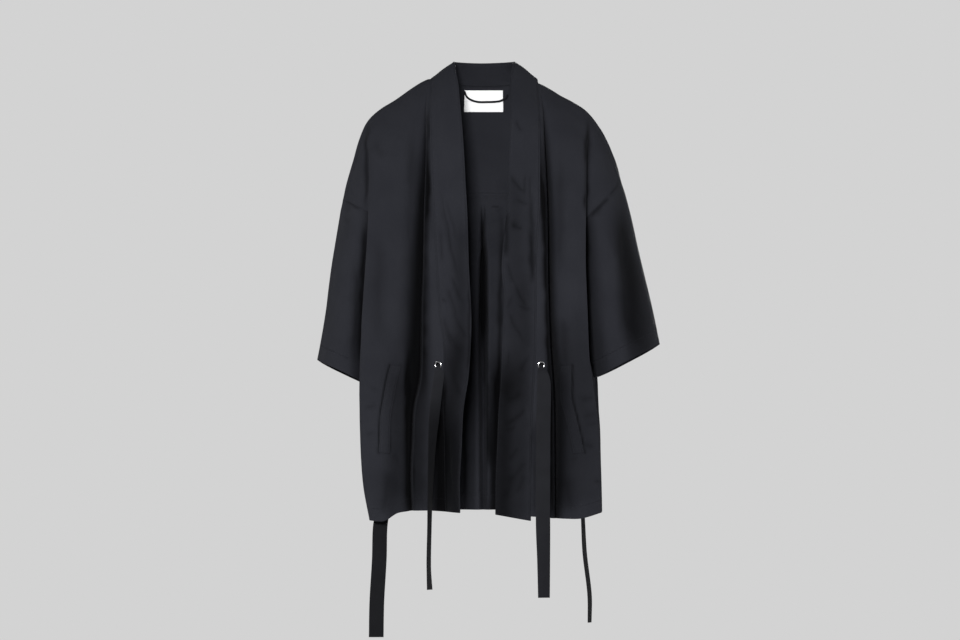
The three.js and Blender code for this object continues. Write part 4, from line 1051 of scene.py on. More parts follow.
@dataclass(frozen=True)
class Shell:
    """A closed cloth wall on a surface, in the piece's own flat coordinates."""

    name: str
    surface: Surface
    thickness: float
    hems: tuple[Hem, ...] = ()
    bevel: float = 0.5
    shade: tuple[Optional[Array], Optional[Array]] = (None, None)

    def hem_extra(self) -> Array:
        """How much thicker the wall is inside, at each grid point."""
        extra = np.zeros(self.surface.grid.shape[:2])
        for hem in self.hems:
            distance = self.surface.edge_distance(hem.edge)
            extra = np.maximum(extra, hem.extra * (1 - smooth(hem.deep - 1.5, hem.deep + 1.5, distance)))
        return extra

    def seam_distance(self) -> Array:
        """Distance of each grid point from the nearest line of stitches, in metres."""
        nearest = np.full(self.surface.grid.shape[:2], 0.2)
        for hem in self.hems:
            distance = self.surface.edge_distance(hem.edge)
            for row in hem.rows:
                nearest = np.minimum(nearest, np.abs(distance - row) * MM)
        return nearest

    def flat(self) -> Array:
        """Place of each grid point on the flat cloth, in metres."""
        across, down = self.surface.arcs(1), self.surface.arcs(0)
        return np.stack([across, -down], axis=-1) * MM

    def stitch(self, stitches: Stitches) -> None:
        """Adds the lines of thread along the hems and seams, outside and where they show inside."""
        normals = self.surface.normals()
        extra = self.hem_extra()[..., None]
        outer = self.surface.grid + normals * self.thickness / 2
        inner = self.surface.grid - normals * (self.thickness / 2 + extra)
        for hem in self.hems:
            for row in hem.rows:
                places = self.surface.inset(hem.edge, row)
                way = self.surface.look_up(normals, places)
                stitches.run(self.surface.look_up(outer, places), way)
                if hem.inside:
                    stitches.run(self.surface.look_up(inner, places), -way)

    def build(self) -> bpy.types.Object:
        """Makes the mesh object, with its flat coordinates and its distance from the stitches."""
        surface = self.surface
        rows, cols = surface.grid.shape[:2]
        normals, extra = surface.normals(), self.hem_extra()[..., None]
        half = self.thickness / 2
        sides = (surface.grid + normals * self.thickness / 2, surface.grid - normals * (half + extra))
        points = np.concatenate([side.reshape(-1, 3) for side in sides]) * MM
        ring = ringed(numbered(rows, cols)) if surface.closed else numbered(rows, cols)
        under = rows * cols
        a, b, c, d = ring[:-1, :-1], ring[1:, :-1], ring[1:, 1:], ring[:-1, 1:]
        faces = [faces_of(a, b, c, d), faces_of(a, d, c, b) + under]
        rims = [(ring[0], False), (ring[-1], True)]
        if not surface.closed:
            rims += [(ring[:, 0], True), (ring[:, -1], False)]
        for rim, turn in rims:
            p, q = (rim[1:], rim[:-1]) if turn else (rim[:-1], rim[1:])
            faces.append(faces_of(p, q, q + under, p + under))
        quad = np.concatenate(faces)
        flat = np.concatenate([self.flat().reshape(-1, 2)] * 2)
        seam = np.concatenate([self.seam_distance().reshape(-1)] * 2)
        # Painted shade of the outer and inner faces, carried in the deep mark.
        bare = np.zeros((rows, cols))
        deep = np.concatenate([(bare if part is None else part).reshape(-1) for part in self.shade])
        piece = mesh_object(self.name, points, turned_out(points, quad), flat, {"seam": seam, "deep": deep})
        if surface.closed:
            mend_wrap(piece, self.flat(), cols)
        if self.bevel:
            bevel = piece.modifiers.new("rounded_edges", "BEVEL")
            bevel.width, bevel.segments = self.bevel * MM, 2
            bevel.limit_method, bevel.angle_limit = "ANGLE", math.radians(62)
        return piece


def linked(name: str, data: Any) -> bpy.types.Object:
    """A new object of the data, linked to the scene."""
    made = bpy.data.objects.new(name, data)
    bpy.context.collection.objects.link(made)
    return made


def turned_out(points: Array, quads: Array) -> Array:
    """The faces of a closed body, all turned so that they look out of it."""
    p = points[quads] - points.mean(axis=0)
    volume = np.sum(np.cross(p[:, 0], p[:, 1]) * p[:, 2]) + np.sum(np.cross(p[:, 0], p[:, 2]) * p[:, 3])
    return quads[:, ::-1] if volume < 0 else quads


def mesh_object(
    name: str, points: Array, quads: Array, flat: Array, marks: Optional[dict[str, Array]] = None
) -> bpy.types.Object:
    """Makes a smooth-shaded mesh object from arrays.

    Args:
        name: the piece's name.
        points: corners in metres.
        quads: four corner numbers for each face.
        flat: the place of each corner on the flat piece, in metres.
        marks: distance of each corner from the nearest stitches, in metres, and its painted shade in folds
            and troughs, from 0 to 1.

    Returns:
        The object, linked to the scene.
    """
    mesh = bpy.data.meshes.new(name)
    mesh.vertices.add(len(points))
    mesh.vertices.foreach_set("co", np.asarray(points, dtype=np.float32).ravel())
    mesh.loops.add(quads.size)
    mesh.loops.foreach_set("vertex_index", quads.astype(np.int32).ravel())
    mesh.polygons.add(len(quads))
    mesh.polygons.foreach_set("loop_start", np.arange(0, quads.size, 4, dtype=np.int32))
    mesh.polygons.foreach_set("use_smooth", np.ones(len(quads), dtype=bool))
    uv = mesh.uv_layers.new(name="flat")
    uv.data.foreach_set("uv", np.asarray(flat, dtype=np.float32)[quads.ravel()].ravel())
    # The deep mark is painted shade, from 0 for none to 1 for near black.
    for key, plain in (("seam", 0.2), ("deep", 0.0)):
        values = np.full(len(points), plain) if marks is None else marks[key]
        stored = mesh.attributes.new(key, "FLOAT", "POINT").data
        stored.foreach_set("value", np.asarray(values, dtype=np.float32))
    mesh.update(calc_edges=True)
    mesh.validate()
    return linked(name, mesh)


def mend_wrap(piece: bpy.types.Object, flat: Array, cols: int) -> None:
    """Lets the flat coordinates of a closed ring run on past its last column."""
    mesh = piece.data
    verts = np.zeros(len(mesh.loops), dtype=np.int32)
    mesh.loops.foreach_get("vertex_index", verts)
    uv = np.zeros(len(mesh.loops) * 2, dtype=np.float32)
    layer = mesh.uv_layers["flat"].data
    layer.foreach_get("uv", uv)
    uv = uv.reshape(-1, 4, 2)
    column = (verts % cols).reshape(-1, 4)
    wraps = (column.max(axis=1) == cols - 1) & (column.min(axis=1) == 0)
    around = float(flat[:, -1, 0].mean() + flat[0, 1, 0])
    uv[..., 0] = np.where(wraps[:, None] & (column == 0), around, uv[..., 0])
    layer.foreach_set("uv", uv.ravel())


def applied(piece: bpy.types.Object) -> bpy.types.Object:
    """Replaces the piece's mesh by what its modifiers make of it."""
    bpy.context.view_layer.update()
    graph = bpy.context.evaluated_depsgraph_get()
    made = bpy.data.meshes.new_from_object(
        piece.evaluated_get(graph), preserve_all_data_layers=True, depsgraph=graph
    )
    piece.modifiers.clear()
    piece.data = made
    made.name = piece.name
    return piece


# ------------------------------------------------------------------ materials
class Value:
    """A shader socket in an expression: each operator adds a Math node."""

    def __init__(self, shader: "Shader", socket: bpy.types.NodeSocket) -> None:
        """Wraps one output socket."""
        self.shader = shader
        self.socket = socket

    def math(self, operation: str, first: Any, second: Any = None) -> "Value":
        """The result of one Math node."""
        inputs = {0: first} if second is None else {0: first, 1: second}
        return self.shader.out("ShaderNodeMath", {"operation": operation}, inputs)

    def __add__(self, other: Any) -> "Value":
        """self + other."""
        return self.math("ADD", self, other)

    __radd__ = __add__

    def __sub__(self, other: Any) -> "Value":
        """self - other."""
        return self.math("SUBTRACT", self, other)

    def __rsub__(self, other: Any) -> "Value":
        """other - self."""
        return self.math("SUBTRACT", other, self)

    def __mul__(self, other: Any) -> "Value":
        """self * other."""
        return self.math("MULTIPLY", self, other)

    __rmul__ = __mul__

    def sine(self) -> "Value":
        """The sine of the value."""
        return self.math("SINE", self)

    def step(self, low: float, high: float) -> "Value":
        """A smooth step from 0 at low to 1 at high."""
        inputs = {"Value": self, "From Min": low, "From Max": high, "To Min": 0.0, "To Max": 1.0}
        return self.shader.out("ShaderNodeMapRange", {"interpolation_type": "SMOOTHSTEP"}, inputs)


class Shader:
    """A material under construction."""

    def __init__(self, name: str) -> None:
        """Starts an empty material."""
        self.material = bpy.data.materials.new(name)
        self.material.use_nodes = True
        self.tree = self.material.node_tree
        self.tree.nodes.clear()

    def node(self, kind: str, settings: dict[str, Any], inputs: dict[Any, Any]) -> bpy.types.Node:
        """Adds one node.

        Args:
            kind: the node's type.
            settings: its own properties, set first.
            inputs: values or links of its sockets, by name or number.

        Returns:
            The node.
        """
        made = self.tree.nodes.new(kind)
        for key, value in settings.items():
            setattr(made, key, value)
        for key, value in inputs.items():
            if isinstance(value, Value):
                self.tree.links.new(value.socket, made.inputs[key])
            else:
                made.inputs[key].default_value = value
        return made

    def out(self, kind: str, settings: dict[str, Any], inputs: dict[Any, Any], socket: Any = 0) -> Value:
        """Adds one node and returns one of its outputs."""
        return Value(self, self.node(kind, settings, inputs).outputs[socket])

    def mixed(self, factor: Any, first: Any, second: Any) -> Value:
        """A mix of two colours."""
        node = self.tree.nodes.new("ShaderNodeMix")
        node.data_type = "RGBA"
        sockets = {s.identifier: s for s in node.inputs}
        for key, value in (("Factor_Float", factor), ("A_Color", first), ("B_Color", second)):
            if isinstance(value, Value):
                self.tree.links.new(value.socket, sockets[key])
            else:
                sockets[key].default_value = value
        return Value(self, next(s for s in node.outputs if s.identifier == "Result_Color"))

    def mark(self, name: str) -> Value:
        """A number stored on each point of the mesh."""
        return self.out("ShaderNodeAttribute", {"attribute_name": name}, {}, "Fac")

    def flat(self) -> tuple[Value, Value]:
        """The place on the flat cloth, across and down, in metres."""
        uv = self.out("ShaderNodeUVMap", {"uv_map": "flat"}, {})
        parts = self.node("ShaderNodeSeparateXYZ", {}, {0: uv})
        return Value(self, parts.outputs[0]), Value(self, parts.outputs[1])

    def noise(self, scale: float, detail: float = 2.0, vector: Optional[Value] = None) -> Value:
        """Noise from 0 to 1 on the object's own coordinates, or on a vector."""
        place = vector or self.out("ShaderNodeTexCoord", {}, {}, "Object")
        return self.out("ShaderNodeTexNoise", {}, {"Vector": place, "Scale": scale, "Detail": detail}, 0)

    def stretched(self, across: Value, down: Value, x: float, y: float) -> Value:
        """A vector of the flat place, scaled differently each way."""
        return self.out("ShaderNodeCombineXYZ", {}, {0: across * x, 1: down * y})

    def bump(self, height: Value, distance: float, strength: float, normal: Optional[Value] = None) -> Value:
        """A bumped normal."""
        inputs: dict[Any, Any] = {"Height": height, "Distance": distance, "Strength": strength}
        if normal is not None:
            inputs["Normal"] = normal
        return self.out("ShaderNodeBump", {}, inputs)

    def finish(self, inputs: dict[str, Any]) -> bpy.types.Material:
        """Adds the main shader and the output."""
        main = self.out("ShaderNodeBsdfPrincipled", {}, inputs)
        self.node("ShaderNodeOutputMaterial", {}, {"Surface": main})
        return self.material


Colour = tuple[float, float, float, float]


@dataclass(frozen=True)
class Twill:
    """Fine cotton twill with a soft nap: diagonal lines, slubs, puckered seams, and shade painted into its
    folds.
    """

    name: str = "black_twill"
    dark: Colour = (0.0143, 0.0149, 0.0187, 1)
    light: Colour = (0.0175, 0.0182, 0.0224, 1)
    worn: Colour = (0.0220, 0.0228, 0.0274, 1)
    # The near black of the painted shade.
    painted_shade_colour: Colour = (0.0006, 0.0006, 0.0008, 1)
    roughness: float = 0.9
    wale: float = 0.0011
    sheen: float = 0.01

    def build(self) -> bpy.types.Material:
        """The material."""
        shader = Shader(self.name)
        across, down = shader.flat()
        seam = shader.mark("seam")
        wale = (across * (2 * math.pi * 0.88 / self.wale) + down * (2 * math.pi * 0.47 / self.wale)).sine()
        slub = shader.noise(1.0, 3.0, shader.stretched(across, down, 260, 900))
        cloud = shader.noise(16.0, 3.0)
        dents = shader.noise(1.0, 2.0, shader.stretched(across, down, 42, 26))
        pucker = shader.noise(1.0, 1.0, shader.stretched(across, down, 230, 230))
        near = 1 - seam.step(0.001, 0.010)
        line = 1 - seam.step(0.0004, 0.0018)
        weave = shader.bump(wale * 0.5 + slub * 0.8, 0.0002, 0.55)
        soft = shader.bump(dents, 0.0016, 0.35, weave)
        seamed = shader.bump(pucker * near - line * 0.9, 0.0011, 0.6, soft)
        tone = cloud * 0.6 + slub * 0.4
        base = shader.mixed(tone.step(0.3, 0.7), self.dark, self.light)
        worn = shader.mixed(near * pucker.step(0.5, 0.75) * 0.4, base, self.worn)
        # Painted shade: the deep mark mixes the colour towards near black where folds, troughs and other
        # parts would shade it.
        colour = shader.mixed(shader.mark("deep"), worn, self.painted_shade_colour)
        return shader.finish({
            "Base Color": colour, "Roughness": self.roughness - 0.08 * slub, "Normal": seamed,
            "Sheen Weight": self.sheen, "Sheen Roughness": 0.45, "Sheen Tint": (0.85, 0.88, 1.0, 1.0),
            "Specular IOR Level": 0.05,
        })


@dataclass(frozen=True)
class Grosgrain:
    """Ribbon with fine ribs across it and bound edges, and shade painted into it where it hangs in shadow."""

    name: str = "black_ribbon"
    dark: Colour = (0.0080, 0.0083, 0.0102, 1)
    light: Colour = (0.0104, 0.0107, 0.0131, 1)
    # The near black of the painted shade.
    painted_shade_colour: Colour = (0.0006, 0.0006, 0.0008, 1)
    rib: float = 0.0012

    def build(self) -> bpy.types.Material:
        """The material."""
        shader = Shader(self.name)
        across, down = shader.flat()
        ribs = (down * (2 * math.pi / self.rib)).sine()
        thread = shader.noise(1.0, 2.0, shader.stretched(across, down, 2600, 500))
        normal = shader.bump(ribs * 0.5 + thread * 0.5, 0.0002, 0.6)
        tone = shader.noise(40.0) * 0.5 + thread * 0.5
        plain = shader.mixed(tone.step(0.3, 0.7), self.dark, self.light)
        # Painted shade: the deep mark mixes the colour towards near black where the ribbon hangs in shadow.
        return shader.finish({
            "Base Color": shader.mixed(shader.mark("deep"), plain, self.painted_shade_colour),
            "Roughness": 0.7 + 0.1 * thread, "Normal": normal, "Sheen Weight": 0.01,
            "Specular IOR Level": 0.08,
        })


@dataclass(frozen=True)
class SatinLabel:
    """Plain white woven tape."""

    name: str = "white_label"
    dark: Colour = (0.84, 0.84, 0.85, 1)
    light: Colour = (0.93, 0.93, 0.93, 1)
    thread: float = 0.0008

    def build(self) -> bpy.types.Material:
        """The material."""
        shader = Shader(self.name)
        across, down = shader.flat()
        turn = 2 * math.pi / self.thread
        weave = (across * turn).sine() + (down * turn).sine()
        tone = shader.noise(1.0, 2.0, shader.stretched(across, down, 120, 1400))
        return shader.finish({
            "Base Color": shader.mixed(tone, self.dark, self.light), "Roughness": 0.5 + 0.15 * tone,
            "Normal": shader.bump(weave + tone, 0.00012, 0.5), "Sheen Weight": 0.1,
        })


@dataclass(frozen=True)
class Steel:
    """Bright nickelled metal with fine scratches."""

    name: str = "bright_metal"
    colour: Colour = (0.3, 0.3, 0.31, 1)

    def build(self) -> bpy.types.Material:
        """The material."""
        shader = Shader(self.name)
        scratch = shader.noise(900.0, 2.0)
        dull = shader.noise(300.0, 2.0)
        return shader.finish({
            "Base Color": shader.mixed(dull.step(0.35, 0.75), self.colour, (0.16, 0.16, 0.17, 1)),
            "Metallic": 1.0,
            "Roughness": 0.12 + 0.1 * dull, "Normal": shader.bump(scratch, 0.00004, 0.3),
        })


@dataclass(frozen=True)
class Thread:
    """Sewing thread."""

    name: str = "black_thread"
    dark: Colour = (0.008, 0.0084, 0.0105, 1)
    light: Colour = (0.0145, 0.0150, 0.0185, 1)

    def build(self) -> bpy.types.Material:
        """The material."""
        shader = Shader(self.name)
        twist = shader.noise(2400.0, 2.0)
        return shader.finish({
            "Base Color": shader.mixed(twist, self.dark, self.light), "Roughness": 0.7 + 0.1 * twist,
            "Specular IOR Level": 0.1,
            "Normal": shader.bump(twist, 0.0001, 0.5),
        })


@dataclass(frozen=True)
class PaleFloor:
    """A plain pale studio floor, clear when seen from below."""

    name: str = "pale_floor"
    colour: Colour = (0.62, 0.62, 0.62, 1)

    def build(self) -> bpy.types.Material:
        """The material."""
        shader = Shader(self.name)
        dull = shader.out("ShaderNodeBsdfDiffuse", {}, {"Color": self.colour, "Roughness": 0.9})
        clear = shader.out("ShaderNodeBsdfTransparent", {}, {})
        behind = shader.out("ShaderNodeNewGeometry", {}, {}, "Backfacing")
        both = shader.node("ShaderNodeMixShader", {}, {0: behind, 1: dull, 2: clear})
        shader.node("ShaderNodeOutputMaterial", {}, {"Surface": Value(shader, both.outputs[0])})
        return shader.material


@dataclass(frozen=True)
class Palette:
    """The finished materials, by the record's slots, and the threads."""

    twill: bpy.types.Material
    ribbon: bpy.types.Material
    label: bpy.types.Material
    metal: bpy.types.Material
    thread: bpy.types.Material
    white_thread: bpy.types.Material

    @classmethod
    def mixed(cls) -> "Palette":
        """Builds every material."""
        white = Thread("white_thread", (0.75, 0.75, 0.76, 1), (0.9, 0.9, 0.9, 1))
        return cls(
            Twill().build(), Grosgrain().build(), SatinLabel().build(), Steel().build(), Thread().build(),
            white.build(),
        )

    def slot(self, name: str) -> bpy.types.Material:
        """The material of one of the record's slots."""
        return getattr(self, name)


# ------------------------------------------------------------------ pieces
@dataclass(frozen=True)
class Cut:
    """The flat size that a cloth piece was cut to, in metres, and its area."""

    width: float
    length: float
    area: Optional[float] = None


class Workshop:
    """Hands every finished piece to the frame and reports it."""

    def __init__(self, palette: Palette) -> None:
        """Starts with no pieces.

        Args:
            palette: the materials.
        """
        self.palette = palette
        self.stitches = Stitches()
        self.white = Stitches(pitch=2.2)

    def place(
        self,
        piece: bpy.types.Object,
        slot: str,
        nodes: Sequence[str] = (),
        finish: Optional[bpy.types.Material] = None,
    ) -> bpy.types.Object:
        """Dresses a piece, hides the solids that it stands for and logs it.

        Args:
            piece: the object.
            slot: the record's material slot.
            nodes: the solids that it replaces.
            finish: a material other than the slot's own.

        Returns:
            The piece.
        """
        piece.data.materials.clear()
        piece.data.materials.append(finish or self.palette.slot(slot))
        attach(piece, BODY)
        if nodes:
            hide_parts(*nodes)
        LOG.info("%s: %d faces, slot %s", piece.name, len(piece.data.polygons), slot)
        return piece

    def cloth(
        self, shell: Shell, slot: str, nodes: Sequence[str], cut: Cut, held: Held, rests_on: Sequence[str],
        change: Optional[Callable[[bpy.types.Object], bpy.types.Object]] = None,
    ) -> bpy.types.Object:
        """Makes and dresses one cloth piece, and logs its measured size.

        Args:
            shell: its wall.
            slot: the record's material slot.
            nodes: the solids that it replaces.
            cut: its flat size; not used.
            held: how it is held; not used.
            rests_on: what it hangs from or lies on; not used.
            change: what is done to the mesh before it is dressed.

        Returns:
            The piece.
        """
        piece = shell.build()
        if change is not None:
            piece = change(piece)
        self.place(piece, slot, nodes)
        list(rests_on)
        LOG.info("%s: measures %.3f by %.3f m, %.4f m2", piece.name, *shell.surface.measured())
        return piece


def front_facing(surface: Surface) -> Array:
    """1 where the surface looks to the front, falling to 0 where it turns away."""
    return 1 - smooth(-0.45, -0.1, surface.normals()[..., 1])


def shade_below(depth: Array, low: float, high: float) -> Array:
    """How dark each place is painted, from 0 where its depth in a fold is low to FOLD_SHADE where it is high.
    """
    return smooth(low, high, depth) * FOLD_SHADE


def front_depth(surface: Surface, shape: SideShape) -> Array:
    """Millimetres that each place lies behind the plain front."""
    x, y, z = np.moveaxis(surface.grid, -1, 0)
    return y - FRONT_PROFILE(shape.ridge_z(np.abs(x)) - z)


def clear_of(surface: Surface, edges: Sequence[Edge], near: float = 3.0, far: float = 20.0) -> Array:
    """0 at the named edges, rising to 1 inside, so that seams keep their line."""
    clear = np.ones(surface.grid.shape[:2])
    for edge in edges:
        clear = clear * smooth(near, far, surface.edge_distance(edge))
    return clear


@dataclass
class Body:
    """Fronts, back and yoke."""

    pattern: Pattern
    cloth: float = 2.0
    step: float = 3.0
    left_creases: Creases = Creases([
        [-194, -533, -171, -525, 1, 4, -1.2], [-194, -579, -175, -571, 1, 4, -1.0],
        [-152, -575, -148, -605, 1, 4, -1.2], [-144.5, -605, -137, -624, 0, 4, -0.9],
        [-160, -533, -150, -521, 0, 3.5, -0.9], [-186, -500, -172, -506, 0, 4, -0.8],
        [-112, -60, -118, -330, 4, 9, -1.6], [-132, -120, -142, -420, -6, 16, 1.4],
        [-168, -250, -170, -440, 3, 14, -1.4], [-178, -96, -160, -130, 2, 6, -0.8],
        [-125, -500, -128, -700, 2, 7, 1.5], [-150, -630, -160, -712, 3, 12, -2.0],
    ])
    right_creases: Creases = Creases([
        [152, -518, 183, -514, 1, 4, -1.3], [160, -548, 186, -544, -1, 4, -1.2],
        [164, -560, 186, -558, 1, 3.5, -0.9], [162, -590, 179, -598, 1, 4, -1.6],
        [137, -620, 152, -613, 0, 4, -0.9], [179, -655, 191, -651, 1, 5, -1.5],
        [126, -110, 124, -330, 3, 12, -1.5], [146, -150, 150, -440, -4, 16, 1.4],
        [128, -380, 132, -470, 2, 8, -1.6], [134, -640, 140, -704, 2, 10, -1.8],
        [170, -480, 186, -486, 1, 4, -0.8],
    ])
    back_creases: Creases = Creases([
        [-23, -163, -24, -196, 1, 5, -1.6], [23, -150, 20, -190, 1, 6, -1.8],
        [30, -205, 22, -214, 0, 3, 1.0], [-30, -240, -34, -420, 3, 9, 2.5],
        [26, -250, 33, -460, -3, 10, -3.0], [-66, -230, -70, -520, 5, 16, 4],
        [70, -240, 66, -600, -6, 16, 4], [140, -300, 150, -640, 4, 20, -2.5],
        [-140, -300, -150, -640, -4, 20, -2.5],
    ])
    ripples: Ripples = Ripples([[46, 150, 1.1, 3], [19, 44, 0.35, 8], [90, 260, 1.6, 5]])
    # Shade painted into the colour along the folds of each front, as lines.
    left_shades: Shades = Shades([
        [-88, -40, -92, -230, 1, 4, 0.6], [-92, -120, -98, -510, 5, 8, 0.96],
        [-117, -480, -118, -780, 0, 3, 0.5], [-108, -110, -112, -310, 0, 9, 0.2],
        [-114, -270, -118, -480, 0, 12, 0.45], [-121, -430, -122, -706, 2, 6, 0.85],
        [-142, -450, -140, -706, 0, 20, 0.4], [-104, -460, -106, -712, 0, 17, 0.6],
        [-64, -490, -72, -570, 0, 5, 0.95], [-72, -540, -72, -712, 0, 9, 0.96],
        [-190, -60, -192, -210, 0, 3.2, 0.6], [-230, -196, -199, -210, 0, 1.8, 0.4],
    ])
    right_shades: Shades = Shades([
        [86, -40, 97, -230, 0, 3.5, 0.6], [95, -130, 111, -520, 1, 6, 0.95],
        [110, -390, 114, -750, 0, 6, 0.95], [124, -440, 124, -706, 0, 14, 0.4],
        [150, -380, 150, -712, 0, 44, 0.36], [168, -66, 166, -224, 0, 3.6, 0.85],
        [222, -165, 202, -191, 0, 1.8, 0.4], [202, -191, 172, -224, 0, 2.5, 0.6],
        [80, -540, 80, -712, 0, 4, 0.5],
    ])
    # Shade painted on the inside of the back, as lines.
    inside_shades: Shades = Shades([
        [30, -206, 22, -620, 0, 4.5, 0.7], [20, -440, 13, -780, 0, 8, 0.9], [3, -420, 8, -640, 0, 4.5, 0.6],
        [-27, -215, -24, -500, 0, 3, 0.5], [-30, -420, -32, -712, 0, 4, 0.8],
        [26, -204, 12, -204, 0, 1.5, 0.5],
    ])
    # How dark the shade painted along the welt's outer and inner edge is.
    welt_shade: tuple[float, float] = (0.75, 0.35)
    left_cut: Cut = Cut(0.365, 0.735, 0.199)
    right_cut: Cut = Cut(0.292, 0.73, 0.172)
    back_cut: Cut = Cut(0.708, 0.59, 0.323)
    yoke_cut: Cut = Cut(0.76, 0.25, 0.1)
    surfaces: dict[str, Surface] = field(default_factory=dict)

    def relief(
        self, surface: Surface, creases: Creases, facing: Array, edges: Sequence[Edge]
    ) -> tuple[Surface, Array]:
        """The surface with its creases and ripples.

        Args:
            surface: the plain surface.
            creases: the lines laid on it in x and z.
            facing: where the creases reach, from 0 to 1.
            edges: seams that keep their line.

        Returns:
            A new surface, and how far its creases stand out.
        """
        laid = creases.laid(surface, facing)
        return surface.raised((self.ripples.over(surface) + laid) * clear_of(surface, edges)), laid

    def front(self, shape: SideShape) -> tuple[Surface, Array]:
        """One front with its relief, and how dark its folds are painted."""
        side = shape.side
        plain = Surface(self.pattern.fronts[side], -shape.sign).refined(self.step)
        top = self.pattern.yoke_top(shape)
        plain.grid[0] = np.array([top(p[0]) for p in plain.grid[0]])
        left = side is Side.LEFT
        creases = self.left_creases if left else self.right_creases
        shades = self.left_shades if left else self.right_shades
        facing = front_facing(plain)
        surface, laid = self.relief(plain, creases, facing, (Edge.TOP, Edge.START, Edge.END))
        # Painted shade: the front is darkened where it lies deep behind the plain front, in its troughs,
        # along its shade table and beside the welt.
        fore = surface.columns <= FRONT_SAMPLES.index(FOLD_SAMPLE)
        deep = shade_below(front_depth(surface, shape), 9, 34) * fore
        by_welt = self.beside_welt(shape, plain) * facing
        return surface, combined(deep, trough_shade(laid), shades.over(plain, facing), by_welt)

    def beside_welt(self, shape: SideShape, surface: Surface) -> Array:
        """The painted shade along both edges of the pocket welt, on the panel."""
        x, z = np.abs(surface.grid[..., 0]), surface.grid[..., 2]
        opening = single([[row_z, row_x] for row_x, row_z in shape.tables.welt])
        top, bottom = shape.tables.welt[0][1], shape.tables.welt[-1][1]
        inside = smooth(bottom - 4, bottom, z) * (1 - smooth(top, top + 4, z))
        outer, inner = opening(z) + 1.2, opening(z) - Pockets.wide - 1.0
        lines = [dark * np.exp(-(((x - at) / 1.7) ** 2)) for dark, at in zip(self.welt_shade, (outer, inner))]
        return np.clip(sum(lines), 0, 1) * inside

    def build(self, shop: Workshop) -> None:
        """Makes the four panels.

        Args:
            shop: takes the finished pieces.
        """
        seam = Hem(Edge.TOP, 8, 0.5, (5.0,), False)
        for shape in self.pattern.sides:
            name = shape.name
            surface, shade = self.front(shape)
            self.surfaces[f"front_{name}"] = surface
            hems = (seam, Hem(Edge.BOTTOM, 22, 0.9, (20.0,)))
            shell = Shell(f"front_panel_{name}", surface, self.cloth, hems, shade=(shade, None))
            place = eyelet_place(shape, surface)
            shell.stitch(shop.stitches)
            cut = self.left_cut if shape.sign < 0 else self.right_cut
            shop.cloth(
                shell, "twill", [f"front_{name}"], cut, Held.HUNG, ["back_yoke"],
                lambda piece, place=place: pierced(piece, place),
            )
        yoke = Surface(self.pattern.yoke).refined(self.step)
        back = Surface(self.pattern.back).refined(self.step)
        back_side = smooth(0.1, 0.5, yoke.normals()[..., 1])
        yoke, on_yoke = self.relief(yoke, self.back_creases, back_side, tuple(Edge))
        back_side = smooth(0.1, 0.5, back.normals()[..., 1])
        back, on_back = self.relief(back, self.back_creases, back_side, (Edge.TOP, Edge.START, Edge.END))
        self.surfaces.update(yoke=yoke, back=back)
        # Painted shade: the back's inside is darkened deep in the pleat, fading out below z -470, along the
        # inside shade table and in troughs; the yoke and the back's outside in their troughs.
        out = back.grid[..., 1] - BACK_PROFILE(back.grid[..., 2])
        middle = 1 - smooth(34, 44, np.abs(back.grid[..., 0] - PLEAT_CENTRE))
        upper = smooth(-600, -470, back.grid[..., 2])
        deep = shade_below(out, 5, 22) * middle * upper
        inside = combined(deep, self.inside_shades.over(back, back_side), trough_shade(-on_back))
        yoke_hems = (Hem(Edge.BOTTOM, 9, 0.6, (2.0, 8.0)),)
        yoke_shade = (trough_shade(on_yoke), trough_shade(-on_yoke))
        yoke_shell = Shell("back_yoke_panel", yoke, self.cloth, yoke_hems, shade=yoke_shade)
        back_hems = (Hem(Edge.BOTTOM, 26, 0.9, (24.0,)),)
        back_shade = (trough_shade(on_back), inside)
        back_shell = Shell("back_panel", back, self.cloth, back_hems, shade=back_shade)
        pieces = (
            (yoke_shell, "back_yoke", self.yoke_cut, ["neckband"]),
            (back_shell, "back_lower", self.back_cut, ["back_yoke"]),
        )
        for shell, node, cut, rests_on in pieces:
            shell.stitch(shop.stitches)
            shop.cloth(shell, "twill", [node], cut, Held.HUNG, rests_on)


def eyelet_place(shape: SideShape, surface: Surface) -> tuple[Array, Array]:
    """The middle and the axis of one eyelet on the front."""
    x, z = shape.sign * shape.tables.eyelet[0], shape.tables.eyelet[1]
    reach = 6.0
    across = surface.at(x + reach, z)[0] - surface.at(x - reach, z)[0]
    up = surface.at(x, z + reach)[0] - surface.at(x, z - reach)[0]
    return surface.at(x, z)[0], to_front(unit(np.cross(across, up)))


def pierced(piece: bpy.types.Object, place: tuple[Array, Array], radius: float = 4.3) -> bpy.types.Object:
    """Cuts the eyelet's round hole through the panel."""
    point, normal = place
    turned = quaternion_to(normal)
    bpy.ops.mesh.primitive_cylinder_add(vertices=32, radius=radius * MM, depth=12 * MM)
    cutter = bpy.context.object
    cutter.data.transform(turned.to_matrix().to_4x4())
    cutter.data.transform(Matrix.Translation((point * MM).tolist()))
    cut = piece.modifiers.new("hole", "BOOLEAN")
    cut.operation, cut.solver, cut.object = "DIFFERENCE", "EXACT", cutter
    piece.modifiers.move(1, 0)
    applied(piece)
    bpy.data.objects.remove(cutter)
    return piece


def quaternion_to(normal: Array) -> Quaternion:
    """The turn that takes +Z to a direction."""
    return Vector((0, 0, 1)).rotation_difference(Vector(normal.tolist()))


